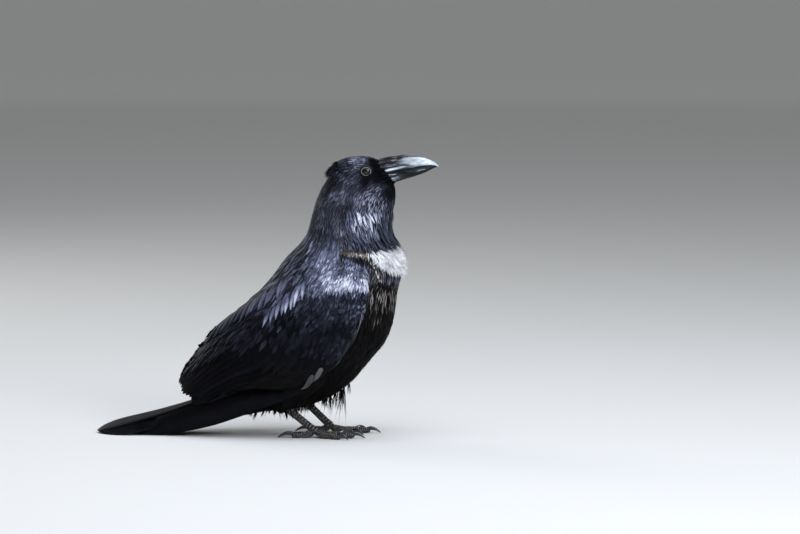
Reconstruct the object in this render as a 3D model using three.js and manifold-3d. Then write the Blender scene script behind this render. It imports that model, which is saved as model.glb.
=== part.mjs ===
// A common raven, Corvus corax, standing at rest with its head in profile and its tail laid on the ground.
// Millimetres, +Z up, +X the way the bird faces, +Y its left side. The origin is on the ground, at the
// middle of the bird's length and width.
import * as THREE from 'three';
import { mergeVertices } from 'three/addons/utils/BufferGeometryUtils.js';
import Module from 'manifold-3d';

const wasm = await Module();
wasm.setup();

const GAP = 0.3; // clearance between touching pieces

// ---------------------------------------------------------------- shared ways of making a shape

// Uniform Catmull-Rom curve through rows of numbers; t runs from 0 at the first row to 1 at the last.
function along(rows, t) {
  const last = rows.length - 1;
  const place = Math.min(Math.max(t, 0), 1) * last;
  const i = Math.min(Math.floor(place), last - 1);
  const f = place - i;
  const before = rows[Math.max(i - 1, 0)];
  const after = rows[Math.min(i + 2, last)];
  return rows[i].map((b, k) => {
    const a = before[k];
    const c = rows[i + 1][k];
    const d = after[k];
    return b + 0.5 * f * (c - a + f * (2 * a - 5 * b + 4 * c - d + f * (3 * (b - c) + d - a)));
  });
}

// Evenly spaced shares of a length, both ends included.
function shares(steps, from = 0, to = 1) {
  return Array.from({ length: steps + 1 }, (_, i) => from + ((to - from) * i) / steps);
}

// Closed skin over rings of points: ring(t) gives the points of one section, in order, for each of the
// places, and both ends get a cap.
function loft(ring, places) {
  const rings = places.map(ring);
  const steps = rings.length - 1;
  const sides = rings[0].length;
  const points = rings.flat();
  const faces = [];
  for (let i = 0; i < steps; i++) {
    for (let j = 0; j < sides; j++) {
      const a = i * sides + j;
      const b = i * sides + ((j + 1) % sides);
      faces.push(a, b, b + sides, a, b + sides, a + sides);
    }
  }
  [0, steps].forEach((i) => {
    const centre = rings[i].reduce((sum, p) => sum.add(p), new THREE.Vector3()).divideScalar(sides);
    points.push(centre);
    for (let j = 0; j < sides; j++) {
      const a = i * sides + j;
      const b = i * sides + ((j + 1) % sides);
      faces.push(points.length - 1, ...(i === 0 ? [b, a] : [a, b]));
    }
  });
  return new THREE.BufferGeometry().setFromPoints(points).setIndex(faces);
}

// A closed geometry as a manifold solid, turned right side out.
function solid(geometry) {
  const bare = geometry.index ? geometry.toNonIndexed() : geometry.clone();
  bare.deleteAttribute('normal');
  bare.deleteAttribute('uv');
  const merged = mergeVertices(bare, 1e-4);
  const vertProperties = merged.attributes.position.array;
  const triVerts = new Uint32Array(merged.index.array);
  const made = new wasm.Manifold(new wasm.Mesh({ numProp: 3, vertProperties, triVerts }));
  if (made.volume() > 0) return made;
  for (let i = 0; i < triVerts.length; i += 3) {
    [triVerts[i + 1], triVerts[i + 2]] = [triVerts[i + 2], triVerts[i + 1]];
  }
  return new wasm.Manifold(new wasm.Mesh({ numProp: 3, vertProperties, triVerts }));
}

// Only the largest piece of a solid, without the slivers that a cut can leave.
function largest(shape) {
  return shape.decompose().sort((a, b) => b.volume() - a.volume())[0];
}

// A solid as a named three.js mesh.
function piece(name, shape, material) {
  const kept = largest(shape).getMesh();
  const geometry = new THREE.BufferGeometry();
  geometry.setAttribute('position', new THREE.BufferAttribute(kept.vertProperties, 3));
  geometry.setIndex(new THREE.BufferAttribute(kept.triVerts, 1));
  geometry.computeVertexNormals();
  const mesh = new THREE.Mesh(geometry, material);
  mesh.name = name;
  return mesh;
}

// The space under the ground, which gives every sole its flat.
const ground = solid(new THREE.BoxGeometry(900, 500, 100).translate(0, 0, -50));

const SIDES = { right: -1, left: 1 };

// ---------------------------------------------------------------- finishes

const plumage = new THREE.MeshStandardMaterial({ color: 0x14151c, roughness: 0.5 });
const flightFeather = new THREE.MeshStandardMaterial({ color: 0x0c0c0f, roughness: 0.45 });
const horn = new THREE.MeshStandardMaterial({ color: 0x2a2c31, roughness: 0.4 });
const scaledSkin = new THREE.MeshStandardMaterial({ color: 0x2b2a2b, roughness: 0.55 });
const eyeball = new THREE.MeshStandardMaterial({ color: 0x1c120c, roughness: 0.08 });

// ---------------------------------------------------------------- head, neck and trunk
// One body of feathers, from the base of the bill to the root of the tail. Each row is a section: the
// point on the back (x, z), the point on the breast (x, z), half the width, and how much of the width
// sits towards the back (+) or the breast (-).
const BODY = [
  [143, 341.5, 151.5, 312, 10.5, -0.05],
  [134, 343.5, 152, 308, 14.5, -0.08],
  [124, 345.5, 153.5, 303, 18.5, -0.1],
  [112, 345.5, 154.5, 298, 22, -0.1],
  [99, 344, 155.5, 293, 24.5, -0.08],
  [86, 339, 155.5, 287.5, 26.5, -0.05],
  [77, 331, 155.5, 280.5, 28.5, 0],
  [71, 317, 155.5, 272.5, 30.5, 0],
  [65, 304, 156, 263, 33, 0],
  [59, 288, 156, 253.5, 36, 0],
  [54, 269, 158, 244, 39, 0],
  [49, 251, 164, 233, 43, 0],
  [41, 238, 169, 219, 47, 0],
  [31, 228, 168, 203, 50, 0.03],
  [21, 217, 162, 183, 52, 0.05],
  [10, 202, 159, 160, 53.5, 0.08],
  [-2, 187, 154, 135, 54.5, 0.1],
  [-16, 172, 144, 113, 54.5, 0.12],
  [-30, 156, 127, 93, 53, 0.14],
  [-44, 140, 108, 70, 50, 0.15],
  [-58, 126, 83, 50, 46, 0.15],
  [-71, 110, 54, 38, 40, 0.14],
  [-83, 94, 24, 32, 33, 0.12],
  [-91, 79, -6, 28, 26, 0.1],
  [-97, 63, -34, 22, 20, 0.05],
];
const HEAD_END = 7.4 / 24; // the cut behind the cheeks
const NECK_END = 12 / 24; // the cut above the shoulders
const BODY_SIDES = 24;

function bodyRing(grow) {
  return (t) => {
    const [backX, backZ, breastX, breastZ, half, high] = along(BODY, t);
    const centre = new THREE.Vector3((backX + breastX) / 2, 0, (backZ + breastZ) / 2);
    const up = new THREE.Vector3(backX, 0, backZ).sub(centre);
    up.setLength(up.length() + grow);
    return Array.from({ length: BODY_SIDES }, (_, j) => {
      const angle = (2 * Math.PI * j) / BODY_SIDES;
      const across = (half + grow) * Math.sin(angle) * (1 + high * Math.cos(angle));
      return centre.clone().addScaledVector(up, Math.cos(angle)).setY(across);
    });
  };
}

const CUT = 0.0012; // share of the body's length that each cut takes away on either side
const headPlaces = shares(12, 0, HEAD_END - CUT);
const neckPlaces = shares(7, HEAD_END + CUT, NECK_END - CUT);
const trunkPlaces = shares(18, NECK_END + CUT, 1);
const wholeBody = solid(loft(bodyRing(GAP), [...headPlaces, ...neckPlaces, ...trunkPlaces]));

// ---------------------------------------------------------------- bill
// Each row is a section across the bill: the ridge (x, z), the cutting edge (x, z), the under edge
// (x, z) and half the width at the cutting edge.
const BILL = [
  [133, 339, 133, 318, 136, 309, 11.5],
  [145, 342.6, 146, 324, 149, 311.5, 11.2],
  [157, 344.2, 157.5, 327.5, 159.5, 313.8, 10.4],
  [169.5, 346, 170, 330.3, 171, 317.6, 9.2],
  [182.5, 345.9, 182.5, 333, 183, 321.3, 7.8],
  [194, 344.1, 194, 335, 194, 325.3, 6.2],
  [202.5, 341.1, 202.5, 335.4, 202, 329.3, 4.2],
  [208.5, 337.5, 208.6, 334.2, 207.6, 332, 2.2],
  [211.5, 333.6, 211.2, 332.8, 209.5, 332.6, 0.6],
];
const BILL_ARC = 8; // facets over one half of the bill

// One half of the bill: an arch from cutting edge to cutting edge over the ridge or the under edge,
// closed by the flat where the two halves meet.
function billRing(outerColumn, seam) {
  return (t) => {
    const row = along(BILL, t);
    const edge = new THREE.Vector3(row[2], 0, row[3] + seam);
    const outer = new THREE.Vector3(row[outerColumn], 0, row[outerColumn + 1]);
    return Array.from({ length: BILL_ARC + 1 }, (_, j) => {
      const angle = Math.PI * (j / BILL_ARC - 0.5);
      const reach = Math.cos(angle) ** 0.9;
      return edge.clone().lerp(outer, reach).setY(row[6] * Math.sin(angle));
    });
  };
}

const bill = {
  bill_upper: solid(loft(billRing(0, GAP / 2), shares(12))).subtract(wholeBody),
  bill_lower: solid(loft(billRing(4, -GAP / 2), shares(12))).subtract(wholeBody),
};

// ---------------------------------------------------------------- eyes
const EYE = { x: 122.5, y: 16.8, z: 327.5, radius: 7 };

function eye(side, grow) {
  const ball = new THREE.SphereGeometry(EYE.radius + grow, 10, 8);
  return solid(ball.translate(EYE.x, side * EYE.y, EYE.z));
}

// ---------------------------------------------------------------- wings
// A folded wing lies over the side of the trunk. Each row is a section across it: its upper edge
// (x, z, y), its lower edge (x, z, y), how far it swells outwards and how thick it is.
const WING = [
  [130, 210, 43, 131, 187, 47, 2, 5],
  [121, 219, 42, 131, 174, 50, 9, 12],
  [103, 226, 37, 126, 155, 51, 15, 17],
  [78, 227, 32, 117, 133, 51, 20, 19],
  [54, 221, 28, 104, 110, 50, 24, 19],
  [31, 209, 23, 89, 89, 49, 27, 18],
  [8, 191, 18, 66, 73, 48, 29, 16],
  [-17, 173, 13, 40, 62, 48, 29, 14],
  [-40, 157, 9, 14, 58, 48, 27, 12],
  [-61, 140, 6, -13, 59, 47, 24, 10],
  [-79, 120, 5, -38, 56, 44, 20, 9],
  [-94, 101, 4, -64, 48, 40, 16, 8],
  [-106, 83, 4, -85, 39, 35, 11, 6.5],
  [-112, 69, 5, -101, 33, 29, 6, 5],
];
const WING_ARC = 7; // facets over the outer face, and again over the inner face

function wingRing(rows, side, grow) {
  return (t) => {
    const [upX, upZ, upY, lowX, lowZ, lowY, swell, thick] = along(rows, t);
    const upper = new THREE.Vector3(upX, upY, upZ);
    const lower = new THREE.Vector3(lowX, lowY, lowZ);
    const spread = lower.clone().sub(upper).setY(0).setLength(grow);
    const face = (share, inwards) => {
      const flat = Math.max(4 * share * (1 - share), 0);
      const outside = swell * Math.sqrt(flat) + grow;
      const inside = (swell - 0.85 * thick) * flat - 0.15 * thick - grow;
      const p = upper.clone().lerp(lower, share);
      p.addScaledVector(spread, 2 * share - 1);
      p.y = side * (p.y + (inwards ? inside : outside));
      return p;
    };
    const outer = Array.from({ length: WING_ARC + 1 }, (_, j) => {
      return face(0.5 - 0.5 * Math.cos((Math.PI * j) / WING_ARC), 0);
    });
    const inner = Array.from({ length: WING_ARC + 1 }, (_, j) => {
      return face(0.5 + 0.5 * Math.cos((Math.PI * j) / WING_ARC), 1);
    });
    return [...outer, ...inner];
  };
}

// The long flight feathers of the wing's tip, folded in a narrow stack below the rest of the wing.
const WING_TIP = [
  [79, 103, 40, 86, 86, 44, 3, 5],
  [41, 80, 43, 61, 65, 46, 6, 7],
  [8, 70, 44, 30, 48, 45, 7, 7],
  [-24, 62, 43, -2, 37, 42, 7, 7],
  [-55, 51, 40, -33, 25, 38, 7, 7],
  [-82, 41, 35, -64, 15, 34, 6, 6],
  [-108, 33, 29, -92, 9, 30, 5, 5],
  [-132, 24, 23, -121, 5, 26, 4, 4],
  [-155, 17, 18, -149, 3.2, 22, 3, 3],
  [-172, 11, 14, -169, 2.4, 18, 2, 2],
  [-183, 5.5, 13, -181, 2.4, 16, 1, 1.4],
];

const wingSolid = (side, grow) => solid(loft(wingRing(WING, side, grow), shares(16)));
const wingTipSolid = (side, grow) => solid(loft(wingRing(WING_TIP, side, grow), shares(10)));

// ---------------------------------------------------------------- tail
// Twelve long feathers in a closed wedge, arched across and rolled a little to the right. Each row is
// a section: the middle (x, z), half the width, half the thickness, the rise of the arch, the roll.
const TAIL = [
  [-22, 55, 15, 15, 0, 0],
  [-42, 47, 18, 14.5, 1, 1],
  [-73, 37, 22, 12, 3, 3],
  [-105, 27.5, 26, 8.5, 5, 6],
  [-136, 19.5, 29, 5.5, 7, 9],
  [-163, 13.5, 31, 3.6, 8, 11],
  [-187, 8.5, 29, 2.4, 7, 12],
  [-204, 4.6, 20, 1.6, 4, 10],
  [-213, 2, 7, 1, 1, 6],
];
const TAIL_ARC = 9;

function tailRing(grow) {
  return (t) => {
    const [x, z, half, thick, rise, roll] = along(TAIL, t);
    const turn = THREE.MathUtils.degToRad(roll);
    const point = (share, up) => {
      const across = (half + grow) * share;
      const round = Math.sqrt(Math.max(1 - share * share, 0));
      const height = rise * (1 - share * share) - rise * 0.6 + up * (thick * (0.12 + 0.88 * round) + grow);
      const y = across * Math.cos(turn) - height * Math.sin(turn);
      return new THREE.Vector3(x, y, z + across * Math.sin(turn) + height * Math.cos(turn));
    };
    const top = Array.from({ length: TAIL_ARC + 1 }, (_, j) => point(-Math.cos((Math.PI * j) / TAIL_ARC), 1));
    const under = Array.from({ length: TAIL_ARC + 1 }, (_, j) => point(Math.cos((Math.PI * j) / TAIL_ARC), -1));
    return [...top, ...under];
  };
}

const tailSolid = (grow) => solid(loft(tailRing(grow), shares(12))).subtract(ground);

// ---------------------------------------------------------------- legs and feet
// A round limb along a line of rows (x, y, z, radius across, radius fore and aft).
function limb(rows, sides, steps, grow = 0) {
  return solid(loft((t) => {
    const [x, y, z, across, deep] = along(rows, t);
    const [aheadX, aheadY, aheadZ] = along(rows, Math.min(t + 0.01, 1));
    const [behindX, behindY, behindZ] = along(rows, Math.max(t - 0.01, 0));
    const way = new THREE.Vector3(aheadX - behindX, aheadY - behindY, aheadZ - behindZ).normalize();
    const sideways = new THREE.Vector3(0, 0, 1).cross(way);
    if (sideways.length() < 0.2) sideways.set(0, 1, 0);
    sideways.normalize();
    const over = way.clone().cross(sideways);
    return Array.from({ length: sides }, (_, j) => {
      const angle = (2 * Math.PI * j) / sides;
      return new THREE.Vector3(x, y, z)
        .addScaledVector(sideways, (across + grow) * Math.cos(angle))
        .addScaledVector(over, (deep + grow) * Math.sin(angle));
    });
  }, shares(steps)));
}

const LEGS = {
  right: { foot: [61, -27], ankle: [13, -24, 47] },
  left: { foot: [74, 27], ankle: [29, 24, 53] },
};
const FOOT_RISE = 9; // height of the joint above the toes
const SHANK = { across: 3.6, deep: 4.5, joint: 5.4 };

function thigh(side, grow) {
  const [x, y, z] = LEGS[side].ankle;
  const out = SIDES[side];
  return limb([
    [x + 56, y + 4 * out, z + 52, 6, 8],
    [x + 48, y + 8 * out, z + 42, 17, 22],
    [x + 33, y + 8 * out, z + 26, 18, 22],
    [x + 18, y + 5 * out, z + 8, 14, 17],
    [x + 8, y + 2 * out, z - 7, 9, 11],
    [x + 4, y, z - 16, 3, 4],
  ], 12, 8, grow);
}

function shank(side, grow) {
  const [x, y, z] = LEGS[side].ankle;
  const [footX, footY] = LEGS[side].foot;
  const at = (share) => [x + (footX - x) * share, y + (footY - y) * share, z + (FOOT_RISE - z) * share];
  return limb([
    [...at(0), SHANK.joint, SHANK.joint],
    [...at(0.15), SHANK.across + 0.6, SHANK.deep + 0.4],
    [...at(0.5), SHANK.across, SHANK.deep],
    [...at(0.85), SHANK.across + 0.3, SHANK.deep],
    [...at(1), SHANK.joint - 0.2, SHANK.joint - 0.4],
    [...at(1.07), 2.5, 2.5],
  ], 8, 6, grow);
}

// Toes: how far each turns from straight ahead towards the outside, its length and its claw's length.
const TOES = {
  hallux: { turn: 172, length: 26, claw: 19, thick: 4.4 },
  inner: { turn: -26, length: 33, claw: 16, thick: 4 },
  middle: { turn: 2, length: 47, claw: 16, thick: 4.2 },
  outer: { turn: 27, length: 36, claw: 14, thick: 3.9 },
};

function toeLine(side, toe) {
  const { turn, length } = TOES[toe];
  const angle = THREE.MathUtils.degToRad(turn) * SIDES[side];
  const [x, y] = LEGS[side].foot;
  return (reach, height) => [x + reach * length * Math.cos(angle), y + reach * length * Math.sin(angle), height];
}

function toeSolid(side, toe, grow) {
  const at = toeLine(side, toe);
  const r = TOES[toe].thick;
  return limb([
    [...at(0.05, FOOT_RISE - 1.5), r - 0.6, r - 0.8],
    [...at(0.24, r + 0.8), r, r],
    [...at(0.43, r - 0.8), r, r - 0.2],
    [...at(0.62, r - 0.2), r - 0.6, r - 0.6],
    [...at(0.81, r - 0.9), r - 0.2, r - 0.4],
    [...at(1, r - 0.6), r - 0.7, r - 0.8],
    [...at(1.06, r - 0.4), 1.6, 1.8],
  ], 7, 6, grow).subtract(ground);
}

function clawSolid(side, toe) {
  const at = toeLine(side, toe);
  const { length, claw, thick } = TOES[toe];
  const reach = (share) => 1 + (claw * share) / length;
  return limb([
    [...at(reach(-0.15), thick), 1.9, 2.6],
    [...at(reach(0.2), thick + 1.8), 1.8, 2.5],
    [...at(reach(0.5), thick + 1.4), 1.4, 2],
    [...at(reach(0.8), thick - 1), 0.9, 1.3],
    [...at(reach(1), 0.7), 0.35, 0.45],
  ], 5, 4).subtract(ground);
}

// ---------------------------------------------------------------- the whole bird
const bird = new THREE.Group();

const eyeSockets = eye(1, GAP).add(eye(-1, GAP));
const headPart = solid(loft(bodyRing(0), headPlaces));
const neckPart = solid(loft(bodyRing(0), neckPlaces));
const trunkPart = solid(loft(bodyRing(0), trunkPlaces));
bird.add(piece('head', headPart.subtract(eyeSockets), plumage));
bird.add(piece('neck', neckPart, plumage));
bird.add(piece('bill_upper', bill.bill_upper, horn));
bird.add(piece('bill_lower', bill.bill_lower, horn));

const tailGrown = tailSolid(GAP);
bird.add(piece('tail', tailSolid(0).subtract(wholeBody), flightFeather));

let legsGrown = null;
for (const [name, side] of Object.entries(SIDES)) {
  bird.add(piece(`eye_${name}`, eye(side, 0), eyeball));
  const wing = wingSolid(side, 0).subtract(wholeBody).subtract(tailGrown);
  bird.add(piece(`wing_${name}`, wing, plumage));
  const tip = wingTipSolid(side, 0).subtract(wholeBody).subtract(wingSolid(side, GAP)).subtract(tailGrown);
  bird.add(piece(`wing_tip_${name}`, tip, flightFeather));

  const thighGrown = thigh(name, GAP);
  const shankGrown = shank(name, GAP);
  const wingGrown = wingSolid(side, GAP).add(wingTipSolid(side, GAP));
  bird.add(piece(`thigh_${name}`, thigh(name, 0).subtract(wholeBody).subtract(wingGrown), plumage));
  bird.add(piece(`shank_${name}`, shank(name, 0).subtract(wholeBody).subtract(thighGrown), scaledSkin));
  legsGrown = legsGrown ? legsGrown.add(shankGrown) : shankGrown;
  let taken = shankGrown;
  for (const toe of ['middle', 'hallux', 'inner', 'outer']) {
    bird.add(piece(`toe_${toe}_${name}`, toeSolid(name, toe, 0).subtract(taken), scaledSkin));
    taken = taken.add(toeSolid(name, toe, GAP));
    const claw = clawSolid(name, toe).subtract(toeSolid(name, toe, GAP));
    bird.add(piece(`claw_${toe}_${name}`, claw, horn));
  }
}
bird.add(piece('trunk', trunkPart, plumage));

export default bird;
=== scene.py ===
"""A common raven at rest, life size: skin, eyes, horn, scaled feet and every tract of its feathers.

Metres, +Z up, +X the way the bird faces, +Y its left side. The tables of sections are in millimetres,
as a taxidermist would note them, and `curve` draws a smooth line through their rows.
"""

import bmesh
import bpy
import numpy as np
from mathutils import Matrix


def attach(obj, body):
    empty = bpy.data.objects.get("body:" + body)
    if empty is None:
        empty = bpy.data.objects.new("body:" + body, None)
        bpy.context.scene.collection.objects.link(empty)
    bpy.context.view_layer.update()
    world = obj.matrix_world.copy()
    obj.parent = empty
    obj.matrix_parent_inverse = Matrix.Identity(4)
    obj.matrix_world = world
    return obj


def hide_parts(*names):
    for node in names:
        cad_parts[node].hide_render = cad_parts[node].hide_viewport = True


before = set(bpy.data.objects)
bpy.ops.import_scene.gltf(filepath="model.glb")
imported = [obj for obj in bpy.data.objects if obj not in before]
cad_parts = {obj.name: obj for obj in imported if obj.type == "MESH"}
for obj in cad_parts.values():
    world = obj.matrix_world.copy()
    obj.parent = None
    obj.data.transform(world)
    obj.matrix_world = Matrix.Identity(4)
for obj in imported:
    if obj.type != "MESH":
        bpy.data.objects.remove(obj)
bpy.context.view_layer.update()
chance = np.random.default_rng(11)

# ================================================================ floor
# The studio's floor: a pale sheet of painted board that turns up into a round wall far behind the bird.
MM = 0.001
FLOOR = [(0, 0), (6000, 0), (7200, 130), (8000, 700), (8400, 1900), (8500, 5000)]  # radius, height
FLOOR_STEPS, FLOOR_SIDES = 60, 96
DOUBLE = 1e-6  # points closer than this, in metres, are one


def curve(rows, t):
    """Uniform Catmull-Rom curve through rows of numbers, at t from 0 (first row) to 1 (last row)."""
    rows = np.asarray(rows, float)
    place = np.clip(t, 0, 1) * (len(rows) - 1)
    i = np.minimum(place.astype(int), len(rows) - 2)
    f = (place - i)[..., None]
    a, b, c, d = (rows[np.clip(i + k, 0, len(rows) - 1)] for k in (-1, 0, 1, 2))
    return b + 0.5 * f * (c - a + f * (2 * a - 5 * b + 4 * c - d + f * (3 * (b - c) + d - a)))


def grid_faces(rows, columns, ring=False):
    """Corner numbers of the squares between a grid's points; ring joins the last column to the first."""
    i, j = np.meshgrid(np.arange(rows - 1), np.arange(columns if ring else columns - 1), indexing="ij")
    near, far = i * columns + j, i * columns + (j + 1) % columns
    return np.stack([near, far, far + columns, near + columns], -1).reshape(-1, 4)


def put_mesh(name, points, faces):
    """A smooth mesh object at the origin from arrays of points and of four-cornered faces."""
    points, faces = np.asarray(points, np.float32).reshape(-1, 3), np.asarray(faces, np.int32)
    mesh = bpy.data.meshes.new(name)
    mesh.vertices.add(len(points))
    mesh.vertices.foreach_set("co", points.ravel())
    mesh.loops.add(faces.size)
    mesh.loops.foreach_set("vertex_index", faces.ravel())
    mesh.polygons.add(len(faces))
    mesh.polygons.foreach_set("loop_start", np.arange(0, faces.size, 4, dtype=np.int32))
    mesh.update(calc_edges=True)
    mesh.shade_smooth()
    made = bpy.data.objects.new(name, mesh)
    bpy.context.scene.collection.objects.link(made)
    return made


def close_up(piece):
    """Merges a mesh's doubles, drops what has no area and points its faces outwards."""
    work = bmesh.new()
    work.from_mesh(piece.data)
    bmesh.ops.remove_doubles(work, verts=work.verts, dist=DOUBLE)
    bmesh.ops.dissolve_degenerate(work, edges=work.edges, dist=DOUBLE)
    bmesh.ops.recalc_face_normals(work, faces=work.faces)
    work.to_mesh(piece.data)
    work.free()
    piece.data.shade_smooth()
    return piece


def linear(colour):
    """An sRGB hex colour as linear red, green, blue and a full alpha."""
    srgb = np.array([int(colour[i:i + 2], 16) for i in (1, 3, 5)]) / 255
    return (*np.where(srgb <= 0.04045, srgb / 12.92, ((srgb + 0.055) / 1.055) ** 2.4).tolist(), 1.0)


def add_node(tree, kind, inputs={}, ramp=(), **settings):
    """A shader node with its settings, and its inputs as values or as links from other nodes; ramp is
    the stops of a colour ramp, each a place from 0 to 1 and a colour."""
    made = tree.nodes.new("ShaderNode" + kind)
    for name, value in settings.items():
        setattr(made, name, value)
    for socket, value in inputs.items():
        if isinstance(value, bpy.types.NodeSocket):
            tree.links.new(value, made.inputs[socket])
        else:
            made.inputs[socket].default_value = value
    if ramp:
        stops = made.color_ramp.elements
        while len(stops) < len(ramp):
            stops.new(0.5)
        for stop, (at, colour) in zip(stops, ramp):
            stop.position, stop.color = at, linear(colour)
    return made


def new_finish(name, **inputs):
    """A material whose shader has the given values; gives the material, its tree and its shader."""
    finish = bpy.data.materials.new(name)
    finish.use_nodes = True
    shader = finish.node_tree.nodes["Principled BSDF"]
    for socket, value in inputs.items():
        shader.inputs[socket.replace("_", " ")].default_value = value
    return finish, finish.node_tree, shader


def painted_board():
    """Matt emulsion on board: one pale tone with a hardly visible roller stipple, 2.5 mm across."""
    finish, tree, shader = new_finish("painted_board", Base_Color=linear("#c4c3bf"), Roughness=0.85)
    place = add_node(tree, "TexCoord").outputs["Object"]
    stipple = add_node(tree, "TexNoise", {"Vector": place, "Scale": 400.0, "Detail": 2.0})
    bump = add_node(tree, "Bump", {"Height": stipple.outputs["Fac"], "Strength": 0.05, "Distance": 0.001})
    tree.links.new(bump.outputs["Normal"], shader.inputs["Normal"])
    return finish


radius, height = np.moveaxis(curve(FLOOR, np.linspace(0, 1, FLOOR_STEPS)) * MM, -1, 0)
turn = np.linspace(0, 2 * np.pi, FLOOR_SIDES, endpoint=False)
ring = np.stack([np.cos(turn), np.sin(turn), np.ones_like(turn)], -1)
floor_points = ring * np.stack([radius, radius, np.maximum(height, 0)], -1)[:, None]
floor = close_up(put_mesh("floor", floor_points, grid_faces(FLOOR_STEPS, FLOOR_SIDES, ring=True)))
floor.data.flip_normals()
floor.data.materials.append(painted_board())

# ================================================================ camera and light
# A long lens, a little above the bird and a little ahead of it. The light is an overcast sky: one wide
# soft box overhead, a smaller one ahead, a weak one behind, and a pale room that fills the shadows.
FRAME_PIXELS = (800, 534)
PIXEL = 1.235 * MM  # what one pixel of the frame spans at the bird
FEET_PIXEL = (268, 434.6)  # where the middle of the floor under the bird falls in the frame
LOOK = np.radians([6.0, 5.0])  # azimuth and elevation
DISTANCE = 6.0
SENSOR = 36.0  # width, in the lens's millimetres

azimuth, elevation = LOOK
ahead = np.array([-np.sin(azimuth) * np.cos(elevation), np.cos(azimuth) * np.cos(elevation),
                  -np.sin(elevation)])
rightward = np.array([np.cos(azimuth), np.sin(azimuth), 0])
upward = np.cross(rightward, ahead)
aim = rightward * (FRAME_PIXELS[0] / 2 - FEET_PIXEL[0]) * PIXEL
aim += upward * (FEET_PIXEL[1] - FRAME_PIXELS[1] / 2) * PIXEL
camera = bpy.data.objects.new("camera", bpy.data.cameras.new("camera"))
camera.data.sensor_width = SENSOR
camera.data.lens = SENSOR * DISTANCE / (FRAME_PIXELS[0] * PIXEL)
camera.data.clip_end = 60
camera.location = aim - ahead * DISTANCE
camera.rotation_euler = (np.pi / 2 - elevation, 0, azimuth)
bpy.context.scene.collection.objects.link(camera)
bpy.context.scene.camera = camera


def soft_box(name, place, target, size, watts, colour):
    """A square area light at a place, turned to a target; size in metres."""
    light = bpy.data.lights.new(name, "AREA")
    light.size, light.energy, light.color = size, watts, linear(colour)[:3]
    made = bpy.data.objects.new(name, light)
    made.location = place
    away = made.location - type(made.location)(target)
    made.rotation_euler = away.to_track_quat("Z", "Y").to_euler()
    bpy.context.scene.collection.objects.link(made)


soft_box("sky_box", (0.3, -0.5, 2.3), target=(0, 0, 0.2), size=2.0, watts=66, colour="#eaf1ff")
soft_box("front_box", (1.8, -2.2, 1.5), target=(0.05, 0, 0.2), size=1.2, watts=62, colour="#f3f6ff")
soft_box("back_box", (-2.0, 1.8, 1.6), target=(0, 0, 0.2), size=1.2, watts=22, colour="#ffffff")
room = bpy.data.worlds.new("room")
room.use_nodes = True
room.node_tree.nodes["Background"].inputs["Color"].default_value = linear("#e9edf3")
room.node_tree.nodes["Background"].inputs["Strength"].default_value = 0.55
bpy.context.scene.world = room
bpy.context.scene.view_settings.view_transform = "Standard"

# ================================================================ the bird's form
# The outside of the whole coat, which every feather lies on: head, neck and trunk as one body, the
# folded wings over its sides, the tail, and the feathered thighs.
BODY = [  # back x, z; breast x, z; half the width; share of the width towards the back
    [137, 341.5, 154.5, 311.5, 9.5, -0.05],
    [131, 343.5, 157.5, 308, 14, -0.08],
    [124, 345.5, 158.5, 303, 18.5, -0.1],
    [112, 345.5, 158.5, 298, 22, -0.1],
    [99, 344, 158.5, 293, 24.5, -0.08],
    [87, 339, 157.5, 287.5, 26.5, -0.05],
    [80, 331, 156, 280.5, 28.5, 0],
    [74.5, 317.5, 154.5, 272.5, 30.5, 0],
    [66, 304, 153.5, 263, 33, 0],
    [59, 288, 152.5, 253.5, 36, 0],
    [54, 269, 153.5, 244, 39, 0],
    [49, 251, 159.5, 233, 43, 0],
    [41, 238, 168, 219, 47, 0],
    [31, 228, 168, 203, 50, 0.03],
    [21, 217, 162, 183, 52, 0.05],
    [10, 202, 159, 160, 53.5, 0.08],
    [-2, 187, 154, 135, 54.5, 0.1],
    [-16, 172, 144, 113, 54.5, 0.12],
    [-30, 156, 127, 93, 53, 0.14],
    [-44, 140, 108, 70, 50, 0.15],
    [-58, 126, 83, 50, 46, 0.15],
    [-71, 110, 54, 38, 40, 0.14],
    [-83, 94, 24, 32, 33, 0.12],
    [-91, 79, -6, 28, 26, 0.1],
    [-97, 63, -34, 22, 20, 0.05],
]
WING = [  # upper edge x, z, y; lower edge x, z, y; swell outwards; thickness
    [130, 210, 43, 131, 187, 47, 2, 5],
    [121, 219, 42, 131, 174, 50, 9, 12],
    [103, 226, 37, 126, 155, 51, 15, 17],
    [78, 227, 32, 117, 133, 51, 20, 19],
    [54, 221, 28, 104, 110, 50, 24, 19],
    [31, 209, 23, 89, 89, 49, 27, 18],
    [8, 191, 18, 66, 73, 48, 29, 16],
    [-17, 173, 13, 40, 62, 48, 29, 14],
    [-40, 157, 9, 14, 58, 48, 27, 12],
    [-61, 140, 6, -13, 59, 47, 24, 10],
    [-79, 120, 5, -38, 56, 44, 20, 9],
    [-94, 101, 4, -64, 48, 40, 16, 8],
    [-106, 83, 4, -85, 39, 35, 11, 6.5],
    [-112, 69, 5, -101, 33, 29, 6, 5],
]
WING_TIP = [
    [79, 103, 40, 86, 86, 44, 3, 5],
    [41, 80, 43, 61, 65, 46, 6, 7],
    [8, 70, 44, 30, 48, 45, 7, 7],
    [-24, 62, 43, -2, 37, 42, 7, 7],
    [-55, 51, 40, -33, 25, 38, 7, 7],
    [-82, 41, 35, -64, 15, 34, 6, 6],
    [-108, 33, 29, -92, 9, 30, 5, 5],
    [-132, 24, 23, -121, 5, 26, 4, 4],
    [-155, 17, 18, -149, 3.2, 22, 3, 3],
    [-172, 11, 14, -169, 2.4, 18, 2, 2],
    [-183, 5.5, 13, -181, 2.4, 16, 1, 1.4],
]
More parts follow.
